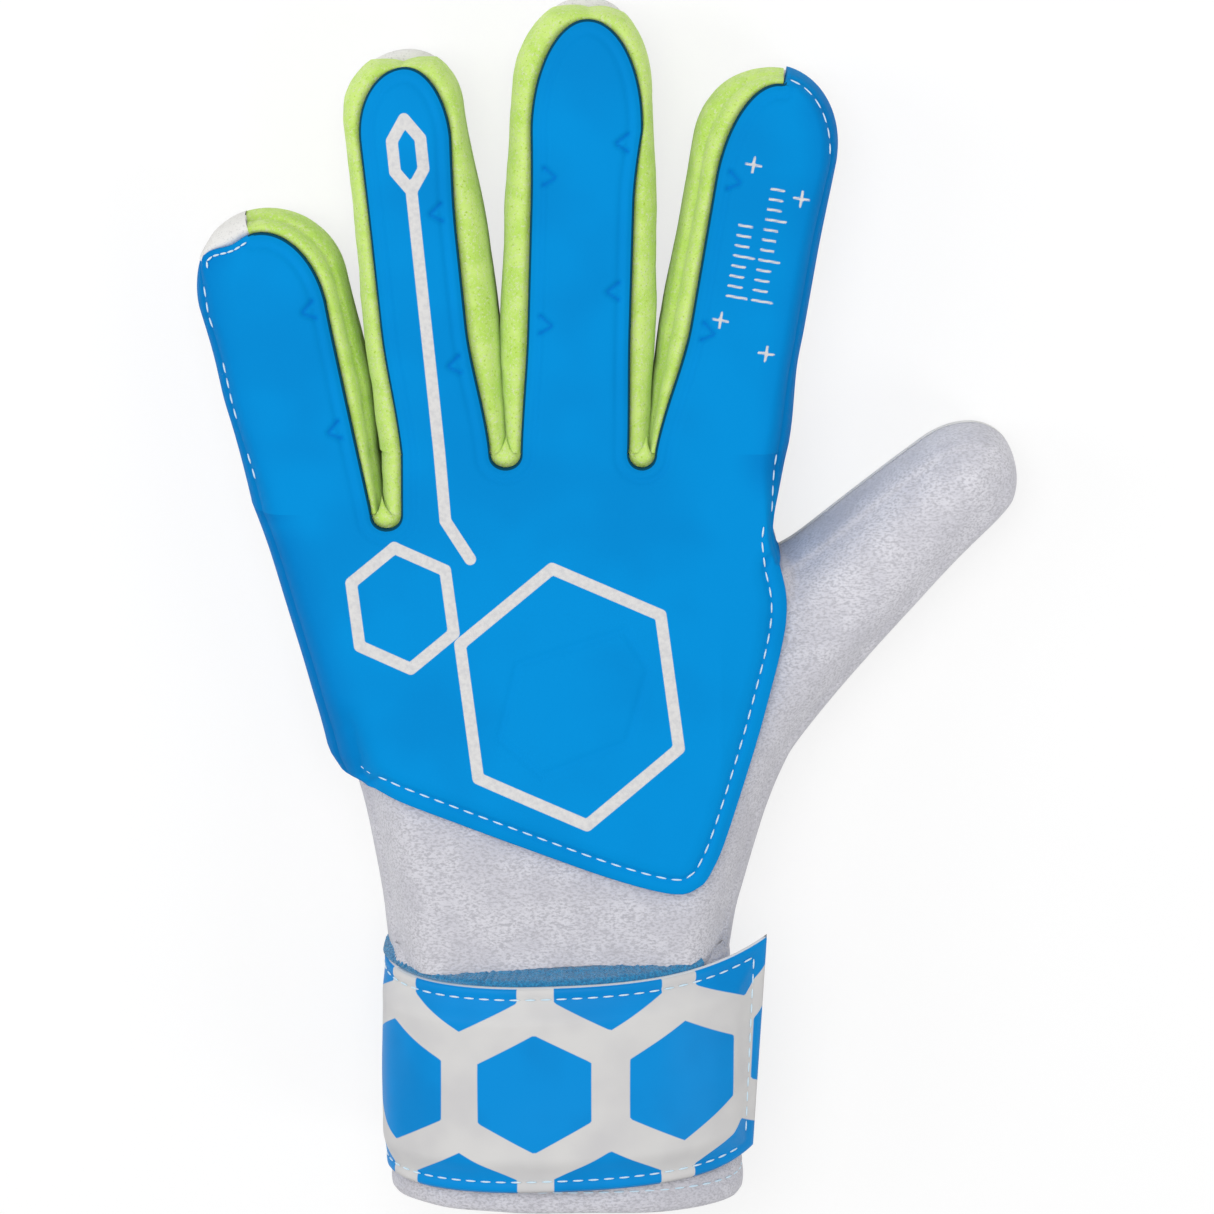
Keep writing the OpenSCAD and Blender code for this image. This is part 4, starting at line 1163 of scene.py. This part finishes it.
# %% [markdown]
# ## Dressing the frame
# Each piece now gets its finish and hides the CAD solids that it stands for. A piece of the hand or the strap is
# parented to that body; the pieces of the fingers and the thumb stay unparented. The real foam has no hinge at a
# finger's bend line.


def finish(piece, look, body, replaces):
    piece.data.materials.append(look)
    if body in FINGERS:
        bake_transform(piece)
    elif body == "thumb":
        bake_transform(piece)
    else:
        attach(piece, body)
    if replaces:
        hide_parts(*replaces)


finish(foam["hand"], foam_blue, "hand", ("backhand", "side_gusset_pinky", "side_gusset_index"))
for name in FINGERS:
    outer = (name + "_gusset_outer",) if name in ("pinky", "index") else ()
    finish(foam[name], foam_blue, name, (name + "_back", *outer))
    finish(latex[name], latex_white, name, (name + "_palm",))
finish(latex["hand"], latex_white, "thumb", ("palm", "thumb_palm"))
stands_for = {"pinky_gusset": ("pinky_gusset_inner",), "index_gusset": ("index_gusset_inner",),
              "ring_gusset": ("ring_gusset_inner", "ring_gusset_outer"),
              "middle_gusset": ("middle_gusset_inner", "middle_gusset_outer"), "web_one": ("web_pinky_ring",),
              "web_two": ("web_ring_middle",), "web_three": ("web_middle_index",)}
for name, (body, piece) in gussets.items():
    look, slot = (gusset_knit, "volt_knit") if name in stands_for else (latex_white, "white_latex")
    finish(piece, look, body, stands_for.get(name, ()))
finish(knit, white_knit, "thumb", ("wrist_fabric", "thumb_fabric", "thumb_back"))
finish(cuff, white_knit, "hand", ("cuff_band", "cuff_hem"))
finish(flap, strap_skin, "strap", ("strap_flap",))
finish(lining, loop_blue, "strap", ())
finish(base, strap_skin, "hand", ("strap_base",))
for name, (body, piece) in thread.items():
    finish(piece, thread_white, body, ())
for name, piece in linings.items():
    finish(piece, lining_white, "hand", (name,))
for name, look in (("hook_patch", hook_white), ("loop_patch", loop_blue)):
    data = frame["nodes"][name].data
    data.materials.clear()
    data.materials.append(look)

# %% [markdown]
# ## Studio
# A pale floor, a soft light box overhead and two weak side lights. The camera looks down, leaning a little from
# the fingertips' side.

# %% Camera, floor and lamps
LEAN, AWAY, FRAME_WIDTH = math.radians(11.5), 0.9, 0.2428
scene = bpy.context.scene
target = Vector((11.4, 14.0, 22)) * MM


def placed(name, data, at, look=None):
    made = bpy.data.objects.new(name, data)
    scene.collection.objects.link(made)
    made.location = at
    if look:
        made.rotation_euler = (Vector(look) - Vector(at)).to_track_quat("-Z", "Y").to_euler()
    return made


lens = bpy.data.cameras.new("camera")
lens.lens = 36 * AWAY / FRAME_WIDTH
scene.camera = placed("camera", lens, target + AWAY * Vector((0, math.sin(LEAN), math.cos(LEAN))))
scene.camera.rotation_euler = (-LEAN, 0, 0)
scene.view_settings.view_transform = "Standard"

bm = bmesh.new()
bmesh.ops.create_grid(bm, x_segments=1, y_segments=1, size=3000)
floor = to_mesh(bm, "floor")
floor.location.z = -0.0003
floor_white, tree, shader = material("paper_floor_white", 0.9, Specular_IOR_Level=0.1)
paint(tree, shader, mix(tree, blob(tree, 40, 2), "#f6f6f6", "#f9f9f9"))
seen = node(tree, "ShaderNodeLightPath").outputs["Is Camera Ray"]
glow = node(tree, "ShaderNodeEmission", {"Color": (1, 1, 1, 1), "Strength": 1.0}).outputs["Emission"]
share = node(tree, "ShaderNodeMath", {0: seen, 1: 0.72}, operation="MULTIPLY").outputs["Value"]
paper = node(tree, "ShaderNodeMixShader", {0: share, 1: shader.outputs["BSDF"], 2: glow}).outputs["Shader"]
under = node(tree, "ShaderNodeNewGeometry").outputs["Backfacing"]
clear = node(tree, "ShaderNodeBsdfTransparent").outputs["BSDF"]
surface = node(tree, "ShaderNodeMixShader", {0: under, 1: paper, 2: clear}).outputs["Shader"]
tree.links.new(surface, tree.nodes["Material Output"].inputs["Surface"])
floor.data.materials.append(floor_white)

world = bpy.data.worlds.new("studio")
world.use_nodes = True
scene.world = world
world.node_tree.nodes["Background"].inputs["Color"].default_value = (1, 1, 1, 1)
world.node_tree.nodes["Background"].inputs["Strength"].default_value = 0.5


def lamp(name, at, size, power):
    light = bpy.data.lights.new(name, "AREA")
    light.shape, light.size, light.energy = "DISK", size, power
    placed(name, light, at, target)


lamp("light_box", (-0.15, 0.35, 1.1), 0.9, 7.0)
lamp("side_left", (-1.0, 0.2, 0.7), 0.5, 2.4)
lamp("side_right", (0.9, -0.5, 0.8), 0.5, 2.6)
